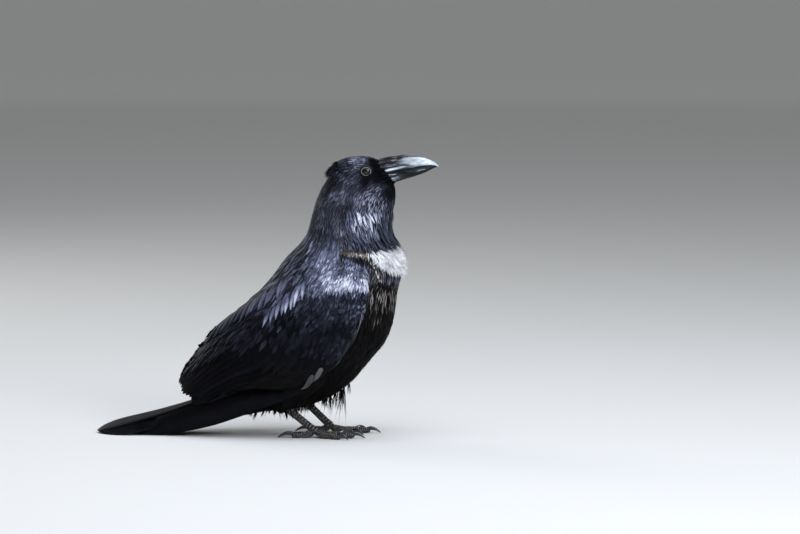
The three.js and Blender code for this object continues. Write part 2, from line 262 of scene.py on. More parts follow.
TAIL = [  # middle x, z; half width; half thickness; rise of the arch; roll in degrees
    [-22, 55, 15, 15, 0, 0],
    [-42, 47, 18, 14.5, 1, 1],
    [-73, 37, 22, 12, 3, 3],
    [-105, 27.5, 26, 8.5, 5, 6],
    [-136, 19.5, 29, 5.5, 7, 9],
    [-163, 13.5, 31, 3.6, 8, 11],
    [-187, 8.5, 29, 2.4, 7, 12],
    [-204, 4.6, 20, 1.6, 4, 10],
    [-213, 2, 7, 1, 1, 6],
]
BILL = [  # ridge x, z; cutting edge x, z; underside x, z; half width
    [133, 339, 133, 318, 136, 309, 11.5],
    [145, 342.6, 146, 324, 149, 311.5, 11.2],
    [157, 344.2, 157.5, 327.5, 159.5, 313.8, 10.4],
    [169.5, 346, 170, 330.3, 171, 317.6, 9.2],
    [182.5, 345.9, 182.5, 333, 183, 321.3, 7.8],
    [194, 344.1, 194, 335, 194, 325.3, 6.2],
    [202.5, 341.1, 202.5, 335.4, 202, 329.3, 4.2],
    [208.5, 337.5, 208.6, 334.2, 207.6, 332, 2.2],
    [211.5, 333.6, 211.2, 332.8, 209.5, 332.6, 0.6],
]
ANKLES = {-1: (13, -24, 47), 1: (29, 24, 53)}  # by side: the right is -1, the left 1
SIDE_NAMES = {-1: "right", 1: "left"}
VOXEL = 2.5 * MM  # grain of the seamless meshes


def body(u, angle, depth=0.0):
    """The body's surface: an ellipse from back to breast at share u of its length, angle 0 at the back
    and pi at the breast, lying depth millimetres inside the tips of the coat."""
    row = curve(BODY, u)
    back, breast, half, high = row[..., 0:2], row[..., 2:4], row[..., 4], row[..., 5]
    up = (back - breast) / 2
    up = up * (1 - depth / np.linalg.norm(up, axis=-1))[..., None]
    middle = (back + breast) / 2 + up * np.cos(angle)[..., None]
    across = (half - depth) * np.sin(angle) * (1 + high * np.cos(angle))
    return np.stack([middle[..., 0], across, middle[..., 1]], -1) * MM


def wing(rows, t, s, side, depth=0.0):
    """A folded wing's outer face: straight from the upper edge (s 0) to the lower (s 1) at share t of its
    length, swelling outwards as half an ellipse."""
    row = curve(rows, t)
    share = s[..., None]
    place = row[..., 0:3] * (1 - share) + row[..., 3:6] * share
    round_off = np.sqrt(np.maximum(4 * s * (1 - s), 0))
    y = place[..., 2] + row[..., 6] * round_off - depth
    return np.stack([place[..., 0], side * y, place[..., 1]], -1) * MM


def unit(vectors):
    """Vectors of length one."""
    return vectors / np.maximum(np.linalg.norm(vectors, axis=-1, keepdims=True), 1e-12)


def bill(t, angle, lower=False, out=0.0):
    """Half of the bill at share t of its length: angle 0 is its ridge, or its keel underneath, and a
    quarter turn either way its cutting edges. out is millimetres outside the horn."""
    row = curve(BILL, t)
    outer, edge, half = (row[..., 4:6] if lower else row[..., 0:2]), row[..., 2:4], row[..., 6]
    reach = np.cos(angle) ** 0.9
    away = unit(outer - edge)
    place = edge + (outer - edge) * reach[..., None] + away * (out * np.cos(angle))[..., None]
    lip = (0.35 - 0.9 * lower) * (1 - reach) ** 3 * np.minimum(1, half / 4)
    y = (half + lip + out) * np.sin(angle)
    place = place - away * ((0.35 - 0.5 * lower) * (1 - reach) ** 3)[..., None]
    return np.stack([place[..., 0], y, place[..., 1]], -1) * MM


def tail(t, share, level):
    """The tail: share runs across it from the right edge (-1) to the left (1), level from its underside
    (-1) to its top (1); it is arched across and rolled to the right."""
    x, z, half, thick, rise, roll = np.moveaxis(curve(TAIL, t), -1, 0)
    roll = np.radians(roll)
    round_off = np.sqrt(np.maximum(1 - share ** 2, 0))
    height = rise * (0.4 - share ** 2) + level * thick * (0.12 + 0.88 * round_off)
    y = half * share * np.cos(roll) - height * np.sin(roll)
    place = np.stack([x, y, z + half * share * np.sin(roll) + height * np.cos(roll)], -1) * MM
    place[..., 2] = np.maximum(place[..., 2], 0.4 * MM)
    return place


def tube(rows, places, sides, swell=0.0):
    """A round limb through rows of x, y, z, radius across and radius fore and aft, in millimetres; swell
    adds to both radii, as a number or as an array of places by sides."""
    row = curve(rows, places)
    centre, across, deep = row[:, 0:3], row[:, 3:4], row[:, 4:5]
    way = unit(np.gradient(centre, axis=0))
    sideways = unit(np.cross([0, 0, 1.0], way))
    over = np.cross(way, sideways)
    turn = np.linspace(0, 2 * np.pi, sides, endpoint=False)
    out = sideways[:, None] * ((across + swell) * np.cos(turn))[..., None]
    out = out + over[:, None] * ((deep + swell) * np.sin(turn))[..., None]
    return (centre[:, None] + out) * MM


def capped(rings):
    """A grid of rings whose first and last rings are drawn in to their middles."""
    ends = [np.broadcast_to(rings[i].mean(0), rings[i].shape)[None] for i in (0, -1)]
    return np.concatenate([ends[0], rings, ends[1]])


def joined(parts):
    """The points and faces of several grids of rings, each closed at both ends, as one mesh's."""
    points, faces, start = [], [], 0
    for part in parts:
        rings = capped(part)
        points.append(rings.reshape(-1, 3))
        faces.append(grid_faces(*rings.shape[:2], ring=True) + start)
        start += len(points[-1])
    return np.concatenate(points), np.concatenate(faces)


def thigh_rows(side):
    """The feathered thigh, from the flank to the ankle."""
    x, y, z = ANKLES[side]
    return [
        [x + 56, y + 4 * side, z + 52, 6, 8],
        [x + 48, y + 8 * side, z + 42, 17, 22],
        [x + 33, y + 8 * side, z + 26, 18, 22],
        [x + 18, y + 5 * side, z + 8, 14, 17],
        [x + 8, y + 2 * side, z - 7, 9, 11],
        [x + 4, y, z - 16, 3, 4],
    ]


def form_rings(body_depth, wing_depth, wing_reach, tail_reach, thigh_swell):
    """Closed rings of every part of the form, sunk below the coat's tips by the given millimetres. The
    outside of the coat takes in the bill, so that bristles can lie over it."""
    u = np.linspace(0, 1, 90)[:, None]
    angle = np.linspace(0, 2 * np.pi, 64, endpoint=False)[None]
    parts = [body(u + 0 * angle, angle + 0 * u, body_depth(u + 0 * angle))]
    t = np.linspace(0.004, wing_reach, 70)[:, None]
    s = (0.5 - 0.5 * np.cos(np.linspace(0, np.pi, 22)))[None]
    for side in SIDE_NAMES:
        outer = wing(WING, t + 0 * s, s + 0 * t, side, wing_depth)
        inner = outer[:, ::-1].copy()
        thick = curve(WING, t[:, 0])[:, 7:8] * (0.15 + 0.85 * np.sin(np.pi * s)) + 12 * (1 - t) ** 2
        inner[..., 1] -= side * (thick - wing_depth) * MM
        parts.append(np.concatenate([outer, inner], 1))
        parts.append(tube(thigh_rows(side), np.linspace(0, 1, 24), 24, thigh_swell))
    t = np.linspace(0, tail_reach, 40)[:, None]
    share = np.cos(np.linspace(0, np.pi, 20))[None]
    top, under = (tail(t + 0 * share, sign * share + 0 * t, sign + 0 * t * share) for sign in (1, -1))
    parts.append(np.concatenate([top, under], 1))
    t = np.linspace(0, 1, 40)[:, None]
    arc = np.linspace(-np.pi / 2, np.pi / 2, 20)[None]
    halves = [bill(t + 0 * arc, sign * arc + 0 * t, sign < 0, -0.6) for sign in (1, -1)]
    if body_depth(np.zeros(1))[0] == 0:
        parts.append(np.concatenate(halves, 1))
    return parts


def one_body(name, parts, voxel, rounds):
    """Joins closed rings into one seamless mesh: a voxel remesh of them all, smoothed."""
    made = close_up(put_mesh(name, *joined(parts)))
    remesh = made.modifiers.new("remesh", "REMESH")
    remesh.mode, remesh.voxel_size, remesh.use_smooth_shade = "VOXEL", voxel, True
    smooth = made.modifiers.new("smooth", "SMOOTH")
    smooth.factor, smooth.iterations = 0.5, rounds
    settled = bpy.data.meshes.new_from_object(made.evaluated_get(bpy.context.evaluated_depsgraph_get()))
    made.modifiers.clear()
    made.data = settled
    made.data.name = name
    made.data.shade_smooth()
    return made


rings = form_rings(lambda u: 0 * u, wing_depth=0.0, wing_reach=0.996, tail_reach=1.0, thigh_swell=0.0)
coat_form = one_body("coat_form", rings, VOXEL, rounds=4)
coat_form.hide_render = True

# ================================================================ skin
# One seamless skin under all the feathers, a coat's depth inside the form: dark grey hide, thin and
# finely pebbled where the feathers are rooted, pale under the white patch of the breast.
BIB = {"tip": 126, "full": 158, "z": 265, "slope": -0.26, "high": 15}  # the white patch in the side view
COAT_DEPTH = [[2], [2.5], [3], [5], [7], [7], [6], [6], [5]]  # along the body, bill to tail


def in_bib(place):
    """How far inside the white patch a place is: 1 on its middle line, 0 on its rim, below 0 outside. In
    the side view the patch is a wedge that widens forwards to the breast, and so wraps the front."""
    half = np.interp(place[..., 0] / MM, [BIB["tip"], BIB["full"]], [0.01, BIB["high"]])
    middle = BIB["z"] + BIB["slope"] * place[..., 0] / MM
    return 1 - np.abs(place[..., 2] / MM - middle) / half


def feathered_hide():
    """Bird skin, dry and matt: slate hide with pebbles 1.5 mm across, pale under the white patch."""
    finish, tree, shader = new_finish("feathered_hide", Roughness=0.8, Specular_IOR_Level=0.1)
    place = add_node(tree, "TexCoord").outputs["Object"]
    x, _, z = add_node(tree, "SeparateXYZ", {0: place}).outputs
    half = add_node(tree, "MapRange", {"Value": x, "From Min": BIB["tip"] * MM, "From Max": BIB["full"] * MM,
                                       "To Min": 0.01 * MM, "To Max": BIB["high"] * MM})
    middle = add_node(tree, "Math", {0: x, 1: BIB["slope"], 2: BIB["z"] * MM}, operation="MULTIPLY_ADD")
    over = add_node(tree, "Math", {0: z, 1: middle.outputs[0]}, operation="SUBTRACT")
    away = add_node(tree, "Math", {0: over.outputs[0]}, operation="ABSOLUTE")
    reach = add_node(tree, "Math", {0: away.outputs[0], 1: half.outputs[0]}, operation="DIVIDE")
    rim = add_node(tree, "MapRange", {"Value": reach.outputs[0], "From Min": 0.8, "From Max": 0.95})
    hide = add_node(tree, "Mix", {"Factor": rim.outputs[0], 6: linear("#c9c6c0"), 7: linear("#040405")},
                    data_type="RGBA")
    tree.links.new(hide.outputs[2], shader.inputs["Base Color"])
    pebbles = add_node(tree, "TexVoronoi", {"Vector": place, "Scale": 1 / (1.5 * MM)})
    bump = add_node(tree, "Bump", {"Height": pebbles.outputs["Distance"], "Strength": 0.4,
                                   "Distance": 0.3 * MM})
    tree.links.new(bump.outputs["Normal"], shader.inputs["Normal"])
    return finish


def coat_depth(u):
    """Depth of the coat over the body, in millimetres, at share u of its length."""
    return curve(COAT_DEPTH, u)[..., 0]


rings = form_rings(coat_depth, wing_depth=4.5, wing_reach=0.8, tail_reach=0.45, thigh_swell=-3.5)
skin = one_body("skin", rings, VOXEL, rounds=6)
skin.data.materials.append(feathered_hide())
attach(skin, "root")
FLESH = ["head", "neck", "trunk", "tail"]
FLESH += [f"{part}_{name}" for part in ("wing", "wing_tip", "thigh") for name in SIDE_NAMES.values()]
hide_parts(*FLESH)

# ================================================================ feathers in general
# A feather is a vane with a shaft: a thin web of barbs, cambered across, that starts in the skin and
# comes up to the outside of the coat at its tip, where it covers the roots of the next ones.
OUTLINES = {  # half width along the feather, as shares of its widest, root to tip
    "round": [0.45, 0.8, 0.97, 1.0, 0.86, 0.5, 0.06],
    "pointed": [0.45, 0.85, 1.0, 0.92, 0.68, 0.36, 0.04],
    "lance": [0.6, 0.9, 1.0, 0.85, 0.6, 0.3, 0.03],
    "hair": [0.8, 1.0, 0.95, 0.8, 0.6, 0.35, 0.05],
    "quill": [0.3, 0.55, 0.8, 0.95, 1.0, 1.0, 1.0, 1.0, 0.96, 0.82, 0.2],
}
PATCH = 0.003  # each feather's share of the bake map
PROBE = 0.01  # metres off the form at which its normals are taken


def cling(points):
    """The nearest places on the outside of the form, and the form's normals there."""
    flat = points.reshape(-1, 3).astype(np.float32)
    probe = put_mesh("probe", flat, np.zeros((0, 4)))
    wrap = probe.modifiers.new("wrap", "SHRINKWRAP")
    wrap.target = coat_form
    found = []
    for mode, offset in (("ON_SURFACE", 0.0), ("ABOVE_SURFACE", PROBE)):
        wrap.wrap_mode, wrap.offset = mode, offset
        result = np.empty(flat.size, np.float32)
        evaluated = probe.evaluated_get(bpy.context.evaluated_depsgraph_get())
        evaluated.data.vertices.foreach_get("co", result)
        found.append(result.reshape(points.shape).astype(float))
    mesh = probe.data
    bpy.data.objects.remove(probe)
    bpy.data.meshes.remove(mesh)
    return found[0], unit(found[1] - found[0])


def drape(root, way, length, steps, sag=0.0):
    """Lines that leave their roots along `way` and follow the form for `length` metres; sag turns them
    down as they go. Gives places and normals, feathers by steps."""
    share = np.linspace(0, 1, steps)[None, :, None]
    down = np.array([0, 0, -1.0])
    line = root[:, None] + length[:, None, None] * (share * way[:, None] + sag * share ** 2 * down)
    return cling(line)


def spread(values, count):
    """A number, or one per feather, as one per feather."""
    return np.broadcast_to(np.asarray(values, float), (count,))


def vanes(centre, normal, width, lift, outline, columns, camber, fray):
    """The points of feathers, feathers by steps by columns: each step is crossed at a right angle to the
    shaft by half the width times the outline, and the middle stands up by camber times that half
    width. lift is the height over the form from root to tip, in metres, and fray the share by which
    the edges are ragged."""
    count, steps = centre.shape[:2]
    shares = np.linspace(0, 1, steps)
    outline = np.interp(shares, np.linspace(0, 1, len(OUTLINES[outline])), OUTLINES[outline])
    half = 0.5 * spread(width, count)[:, None, None] * outline[None, :, None]
    across = unit(np.cross(normal, np.gradient(centre, axis=1)))
    edge = np.linspace(-1, 1, columns)[None, None]
    ragged = 1 + fray * chance.uniform(-1, 1, (count, steps, columns)) * np.abs(edge)
    height = lift[..., None] + spread(camber, count)[:, None, None] * half * (1 - edge ** 2)
    return (centre[:, :, None] + across[:, :, None] * (edge * half * ragged)[..., None]
            + normal[:, :, None] * height[..., None])


def rise(count, steps, low, high, power=1.0):
    """Heights in metres of feathers that come up from low at the root to high at the tip, both given in
    millimetres; a power under 1 brings them up early."""
    share = np.linspace(0, 1, steps)[None] ** power
    return (spread(low, count)[:, None] * (1 - share) + spread(high, count)[:, None] * share) * MM


def shafted(grid, thick):
    """Adds the shaft: the middle column of each feather stands up, most at the root."""
    middle = grid.shape[2] // 2
    along = np.gradient(grid[:, :, middle], axis=1)
    normal = unit(np.cross(along, grid[:, :, middle + 1] - grid[:, :, middle - 1]))
    fade = np.linspace(1, 0.25, grid.shape[1])[None, :, None]
    grid[:, :, middle] += normal * fade * thick * MM
    return grid


def unbroken(grid):
    """Whether each feather runs on smoothly: its longest step is close to its middling one and no two
    steps turn sharply, as they do where it jumps a hollow of the form. Feathers that run off the form,
    whose places are not numbers, fail as well."""
    runs = np.diff(grid[:, :, grid.shape[2] // 2], axis=1)
    size = np.linalg.norm(runs, axis=-1)
    ways = unit(runs)
    bends = (ways[:, 1:] * ways[:, :-1]).sum(-1).min(1)
    return (size.max(1) < 2.5 * np.median(size, axis=1) + 0.3 * MM) & (bends > 0.3)


def put_map(piece, title, places, faces):
    """A UV map from one place per point of a mesh."""
    corners = places.reshape(-1, 2)[faces.ravel()].astype(np.float32)
    piece.data.uv_layers.new(name=title).data.foreach_set("uv", corners.ravel())


def put_coat(name, parts, finish):
    """One piece of the coat from sheets of feathers. Each part is (points, tone, home): the points are
    feathers by steps by columns, tone is 0 to 1 for each, and home is its root's place on the skin's
    unwrap. The bake map gives each feather a small patch there; the map "vane" measures it in
    millimetres across and along; "feather" keeps its tone, its reach to the tip and its edge."""
    points, faces, start = [], [], 0
    bake, vane, marks = [], [], []
    for grid, tone, home in parts:
        whole = unbroken(grid)
        grid, tone, home = grid[whole], spread(tone, len(grid))[whole], home[whole]
        count, steps, columns = grid.shape[:3]
        one = grid_faces(steps, columns)
        faces.append((one[None] + np.arange(count)[:, None, None] * steps * columns).reshape(-1, 4) + start)
        points.append(grid.reshape(-1, 3))
        start += len(points[-1])
        reach = np.broadcast_to(np.linspace(0, 1, steps)[None, :, None], grid.shape[:3])
        edge = np.broadcast_to(np.linspace(-1, 1, columns)[None, None], grid.shape[:3])
        bake.append(home[:, None, None] + PATCH * np.stack([edge * 0.5, reach - 0.5], -1))
        middle = grid[:, :, columns // 2]
        along = np.cumsum(np.linalg.norm(np.diff(middle, axis=1, prepend=middle[:, :1]), axis=-1), 1)
        wide = np.linalg.norm(grid - middle[:, :, None], axis=-1) * np.sign(edge)
        vane.append(np.stack([wide, np.broadcast_to(along[:, :, None], wide.shape)], -1) / MM)
        tones = np.broadcast_to(spread(tone, count)[:, None, None], grid.shape[:3])
        marks.append(np.stack([tones, reach, np.abs(edge)], -1))
    faces = np.concatenate(faces)
    made = put_mesh(name, np.concatenate(points), faces)
    for title, values in (("OFBake", bake), ("vane", vane)):
        put_map(made, title, np.concatenate([value.reshape(-1, 2) for value in values]), faces)
    marks = np.concatenate([mark.reshape(-1, 3) for mark in marks]).astype(np.float32)
    made.data.attributes.new("feather", "FLOAT_VECTOR", "POINT").data.foreach_set("vector", marks.ravel())
    made.data.materials.append(finish)
    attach(made, "root")


def feather_finish(name, ramp, roughness, specular, tint, barb, rim=0.3, root=0.35):
    """Keratin barbs, smooth and half glossy, laid side by side at 35 degrees to the shaft. ramp gives the
    colours of tones from 0 to 1; the tone goes to the shares `rim` at the edges and `root` at the root,
    and drifts in soft clouds 14 mm across. The darker root is painted shade where the next feathers
    overlap it; a rim under 1 is painted shade in the gaps between feathers, and a rim over 1 a painted
    highlight along the edges. tint is the colour of the gloss, and barb the pitch of the barbs in
    millimetres, drawn coarse so that they show."""
    finish, tree, shader = new_finish(name, Roughness=roughness, Specular_IOR_Level=specular,
                                      Specular_Tint=linear(tint))
    marks = add_node(tree, "Attribute", attribute_name="feather")
    tone, reach, edge = add_node(tree, "SeparateXYZ", {0: marks.outputs["Vector"]}).outputs
    place = add_node(tree, "TexCoord").outputs["Object"]
    cloud = add_node(tree, "TexNoise", {"Vector": place, "Scale": 70.0, "Detail": 3.0})
    drift = add_node(tree, "MapRange", {"Value": cloud.outputs["Fac"], "From Min": 0.3, "From Max": 0.7,
                                        "To Min": 0.55, "To Max": 1.35})
    # painted shade: the tone falls towards the root, where the next feathers overlap it
    bare = add_node(tree, "MapRange", {"Value": reach, "From Min": 0.15, "From Max": 0.7, "To Min": root})
    # painted shade in the gaps at the edges, or with a rim over 1 a painted highlight there
    side = add_node(tree, "MapRange", {"Value": edge, "From Min": 0.45, "To Min": 1.0, "To Max": rim})
    vane = add_node(tree, "UVMap", uv_map="vane")
    across, along, _ = add_node(tree, "SeparateXYZ", {0: vane.outputs[0]}).outputs
    outward = add_node(tree, "Math", {0: across}, operation="ABSOLUTE")
    slant = add_node(tree, "Math", {0: outward.outputs[0], 1: -1.4, 2: along}, operation="MULTIPLY_ADD")
    phase = add_node(tree, "Math", {0: slant.outputs[0], 1: 2 * np.pi / barb}, operation="MULTIPLY")
    barbs = add_node(tree, "Math", {0: phase.outputs[0]}, operation="SINE")
    streak = add_node(tree, "MapRange", {"Value": barbs.outputs[0], "From Min": -1.0, "To Min": 0.8})
    for factor in (drift, bare, side, streak):
        tone = add_node(tree, "Math", {0: tone, 1: factor.outputs[0]}, operation="MULTIPLY").outputs[0]
    colours = add_node(tree, "ValToRGB", {"Fac": tone}, ramp)
    tree.links.new(colours.outputs["Color"], shader.inputs["Base Color"])
    bump = add_node(tree, "Bump", {"Height": barbs.outputs[0], "Strength": 0.25, "Distance": 0.1 * MM})
    tree.links.new(bump.outputs["Normal"], shader.inputs["Normal"])
    return finish


def down_the_file(form, span, turns, size, along, across):
    """Roots in files: each file runs down the form at one turn over the span, with a root each `along`
    times the local feather size, neighbours half a step apart. Where files crowd together, some
    roots are left out so that they stay `across` sizes apart. form and size take (u, turn)."""
    u = np.linspace(*span, 240)[:, None]
    turns = np.asarray(turns, float)[None]
    whole_u, whole_turn = u + 0 * turns, turns + 0 * u
    line = form(whole_u, whole_turn)
    local = size(whole_u, whole_turn) * MM
    steps = np.linalg.norm(np.diff(line, axis=0), axis=-1) / (0.5 * (local[1:] + local[:-1]) * along)
    count = np.concatenate([np.zeros_like(steps[:1]), np.cumsum(steps, 0)])
    found_u, found_turn = [], []
    for j in range(turns.shape[1]):
        stops = np.arange((j % 2) * 0.5 + chance.uniform(0, 0.15), count[-1, j], 1.0)
        found_u.append(np.interp(stops + chance.uniform(-0.12, 0.12, len(stops)), count[:, j], u[:, 0]))
        found_turn.append(np.full(len(stops), turns[0, j]))
    u, turn = np.concatenate(found_u), np.concatenate(found_turn)
    gap = abs(turns[0, 1] - turns[0, 0])
    spacing = np.linalg.norm(form(u, turn + gap) - form(u, turn), axis=-1)
    kept = chance.uniform(0, 1, len(u)) < spacing / (size(u, turn) * MM * across)
    u, turn = u[kept], turn[kept]
    return u, turn + gap * chance.uniform(-0.25, 0.25, len(u))


def flow(form, u, turn, step=0.004):
    """The way the coat lies on a form: down its length."""
    return unit(form(u + step, turn) - form(u - step, turn))


def turned(way, normal, degrees):
    """Vectors turned about the normals by some degrees."""
    angle = np.radians(degrees)
    angle = angle[:, None] if np.ndim(angle) else angle
    return way * np.cos(angle) + np.cross(normal, way) * np.sin(angle)


def skin_home(u, turn):
    """A root's place on the unwrap of the body's skin: round the body across, down its length up."""
    return np.stack([(turn / (2 * np.pi)) % 1.0, u], -1)


def wing_home(t, s, side):
    """A root's place on the unwrap of a wing's skin, beside the body's."""
    return np.stack([(1.2 if side < 0 else 1.6) + 0.3 * s, t], -1)


# ================================================================ tail feathers
# Twelve long quills in a closed stack: the middle pair on top, each next pair under the last. Black
# keratin with a stiff shaft, each rooted in the rump; small soft coverts cover the roots.
TAIL_PAIRS = 6
QUILL_STEPS = 26
QUILL_COLUMNS = 7

# rim 1.6 paints a highlight along each quill's edges, root 0.8 a little painted shade at its root
flight_black = feather_finish("flight_feather_black", [(0, "#030303"), (1, "#0b0b0e")], roughness=0.42,
                              specular=0.1, tint="#c8cde0", barb=1.1, rim=1.6, root=0.8)
down_quill = np.linspace(0, 1, QUILL_STEPS)[None]
pair = np.repeat(np.arange(TAIL_PAIRS), 2)[:, None]
hand = np.tile([-1.0, 1.0], TAIL_PAIRS)[:, None]
reach = 0.06 + (0.93 - 0.018 * pair ** 1.3) * down_quill
share = hand * (0.07 + 0.13 * pair) * (0.35 + 0.65 * down_quill)
level = 0.85 - 0.32 * pair + 0 * down_quill
quill_line = tail(reach, share, level)
lateral = unit(tail(reach, share + 0.05, level) - tail(reach, share - 0.05, level))
quill_normal = unit(np.cross(lateral, np.gradient(quill_line, axis=1)))
quill_lift = (0.3 - 0.1 * pair + 0 * down_quill) * MM
rectrices = vanes(quill_line, quill_normal, (27 - pair[:, 0] * 0.8) * MM, quill_lift, "quill", QUILL_COLUMNS,
                  camber=0.07, fray=0.015)
rectrices = shafted(rectrices, 0.5)
rectrices[..., 2] = np.maximum(rectrices[..., 2], 0.3 * MM)
tail_home = np.stack([0.5 + 0.08 * hand[:, 0] * (pair[:, 0] + 1) / TAIL_PAIRS, 0.96 + 0 * pair[:, 0]], -1)
put_coat("tail_feathers", [(rectrices, chance.uniform(0.2, 0.9, 12), tail_home)], flight_black)

# ================================================================ wing quills
# Each wing's quills fold like a fan: the broad inner ones on top nearest the back, the secondaries below
# them, and the long primaries in a narrow stack beneath. Each lies under the one above it.
SECONDARIES = 10
PRIMARIES = 8


def wing_quills(rows, side, t, s, width, depth, tilt, camber):
    """Long quills over a wing's face: t and s are feathers by steps, depth is how far each lies inside
    the coat's tips, and tilt how far its upper edge tucks under the next, both in millimetres."""
    line = wing(rows, t, s, side)
    lower = unit(wing(rows, t, np.clip(s + 0.02, 0, 1), side) - wing(rows, t, np.clip(s - 0.02, 0, 1), side))
    out = unit(np.cross(np.gradient(line, axis=1), lower)) * -side
    grid = vanes(line, out, width * MM, -depth * MM, "quill", QUILL_COLUMNS, camber=camber, fray=0.012)
    lower_edge = np.linspace(-1, 1, QUILL_COLUMNS)[None, None] * -side
    tuck = tilt * MM * (1 - 0.5 * down_quill[..., None] ** 2) * (lower_edge - 1) / 2
    grid += out[:, :, None] * tuck[..., None]
    return shafted(grid, 0.4)


for side, side_name in SIDE_NAMES.items():
    order = np.arange(SECONDARIES)[:, None]
    share = order / (SECONDARIES - 1)
    last = 0.998 - 0.009 * order + 0.01 * np.sin(5 * order)
    t = (0.34 + 0.02 * order) + (last - 0.34 - 0.02 * order) * down_quill
    s = (0.16 + 0.62 * share) * (1 - down_quill) + (0.12 + 0.86 * share) * down_quill
    depth = 0.4 + 2.6 * (1 - down_quill) + 0 * order
    quills = wing_quills(WING, side, t, s, 25 - 8 * share[:, 0], depth, tilt=4.0, camber=0.08)
    home = wing_home(t[:, 0], s[:, 0], side)
    put_coat(f"wing_quills_{side_name}", [(quills, chance.uniform(0.1, 1, SECONDARIES), home)], flight_black)
    order = np.arange(PRIMARIES)[:, None]
    share = order / (PRIMARIES - 1)
    t = 0.02 + 0.01 * order + (0.98 - 0.055 * order) * down_quill
    s = 0.84 - 0.68 * share + 0 * down_quill
    depth = 3.2 - 2.6 * share + 0 * down_quill
    quills = wing_quills(WING_TIP, side, t, s, 15 - 2 * share[:, 0], depth, tilt=1.6, camber=0.06)
    quills[..., 2] = np.maximum(quills[..., 2], 0.5 * MM)
    home = wing_home(0.5 + 0.4 * t[:, 0], 1.1 + 0.2 * s[:, 0], side)
    put_coat(f"primaries_{side_name}", [(quills, chance.uniform(0.1, 1, PRIMARIES), home)], flight_black)

# ================================================================ wing coverts
# Rows of shorter feathers roof the quills' roots: long smooth greater coverts, alula and primary coverts
# along the wing's edge, then ragged median coverts. Black and half glossy like the quills.
COVERT_ROWS = [  # roots from x, z and to x, z; tips from x, z and to x, z; count; width; height of the tip
    [[106, 128], [60, 88], [58, 76], [18, 62], 6, 14, -1.2],  # primary coverts, along the lower edge
    [[112, 150], [16, 160], [84, 92], [-56, 96], 11, 21, -0.9],  # greater coverts
    [[112, 160], [30, 168], [92, 112], [-20, 118], 11, 17, -0.5],  # their second row
    [[127, 172], [117, 140], [104, 118], [84, 92], 4, 11, -0.3],  # alula
]
BULGE = 13  # how far the middle of a long row's tips lies below the straight line, in millimetres


def between(first, last, share):
    """Places on the straight line from first to last, at shares from 0 to 1."""
    return np.array(first) * (1 - share) + np.array(last) * share


def wing_at(x, z):
    """Shares of length and height of the wing's face at places of the side view, in millimetres: those
    of the nearest point of a fine grid over the face."""
    t, s = np.meshgrid(np.linspace(0, 1, 140), np.linspace(0, 1, 70), indexing="ij")
    face = wing(WING, t, s, 1).reshape(-1, 3) / MM
    flat_x, flat_z = np.ravel(x)[:, None], np.ravel(z)[:, None]
    near = ((face[None, :, 0] - flat_x) ** 2 + (face[None, :, 2] - flat_z) ** 2).argmin(1)
    return t.ravel()[near].reshape(np.shape(x)), s.ravel()[near].reshape(np.shape(x))


def side_lines(root, tip, steps, side, sweep):
    """Lines over a wing from root to tip places of the side view, each bowed forward-down by sweep, in
    millimetres, as a parabola, then smoothed and laid on the form. Gives places and normals."""
    share = np.linspace(0, 1, steps)[None, :, None]
    line = between(root[:, None], tip[:, None], share)
    along = unit(tip - root)
    bow = np.stack([-along[:, 1], along[:, 0]], -1) * np.where(along[:, :1] < 0, 1, -1)
    line = line + bow[:, None] * sweep * 4 * share * (1 - share)
    t, s = wing_at(line[..., 0], line[..., 1])
    line = wing(WING, t, s, side)
    for _ in range(8):
        line[:, 1:-1] = (line[:, :-2] + 2 * line[:, 1:-1] + line[:, 2:]) / 4
    return cling(line)


for side, side_name in SIDE_NAMES.items():
    parts = []
    for first, last, tip_first, tip_last, count, width, high in COVERT_ROWS:
        place = np.linspace(0, 1, count)[:, None]
        root, tip = between(first, last, place), between(tip_first, tip_last, place)
        tip[:, 1] -= BULGE * 4 * (place * (1 - place))[:, 0] * (count > 8)
        tip += chance.uniform(-1.5, 1.5, tip.shape)
        centre, normal = side_lines(root, tip, 14, side, -2.0)
        grid = vanes(centre, normal, width * MM, rise(count, 14, high - 2.5, high), "round", 7, 0.14, 0.02)
        t, s = wing_at(root[:, 0], root[:, 1])
        parts.append((shafted(grid, 0.3), chance.uniform(0.1, 0.9, count), wing_home(t, s, side)))
    put_coat(f"greater_coverts_{side_name}", parts, flight_black)

# ================================================================ shoulder and scapular feathers
# The small feathers over the wing's upper face: scales at the wrist, a band of lesser coverts that faces
# the sky, painted bright as its highlight, and long scapulars that hang from the back over the folded
# wing, painted blue-grey with the sky's sheen.
LIE = [  # place in the side view x, z; degrees the lie turns down from straight back; length; width
    [122, 206, 84, 10, 3.8],
    [100, 216, 66, 10, 3.8],
    [70, 220, 56, 14, 4.6],
    [45, 212, 52, 19, 5.6],
    [126, 190, 82, 12, 3.4],
    [105, 190, 80, 13, 3.4],
    [82, 184, 76, 14, 3.6],
    [60, 180, 72, 16, 4.4],
    [122, 172, 66, 12, 5.5],
    [100, 160, 64, 14, 8.0],
    [72, 158, 64, 16, 8.5],
    [62, 136, 60, 19, 10.0],
    [96, 138, 58, 17, 9.0],
    [30, 145, 62, 20, 10.0],
    [28, 200, 56, 24, 8.0],
    [38, 185, 72, 27, 8.0],
    [20, 172, 72, 29, 8.0],
    [2, 158, 66, 29, 8.5],
    [0, 182, 50, 25, 8.5],
    [-20, 140, 52, 30, 9.5],
    [-35, 150, 44, 28, 9.5],
    [-62, 118, 44, 32, 11.0],
    [-85, 96, 44, 32, 11.5],
    [-17, 171, 44, 24, 7.0],
    [-40, 155, 48, 26, 7.0],
    [-61, 138, 54, 27, 7.0],
    [-79, 118, 58, 27, 7.0],
    [-94, 99, 62, 24, 7.0],
    [-106, 82, 68, 20, 7.0],
]
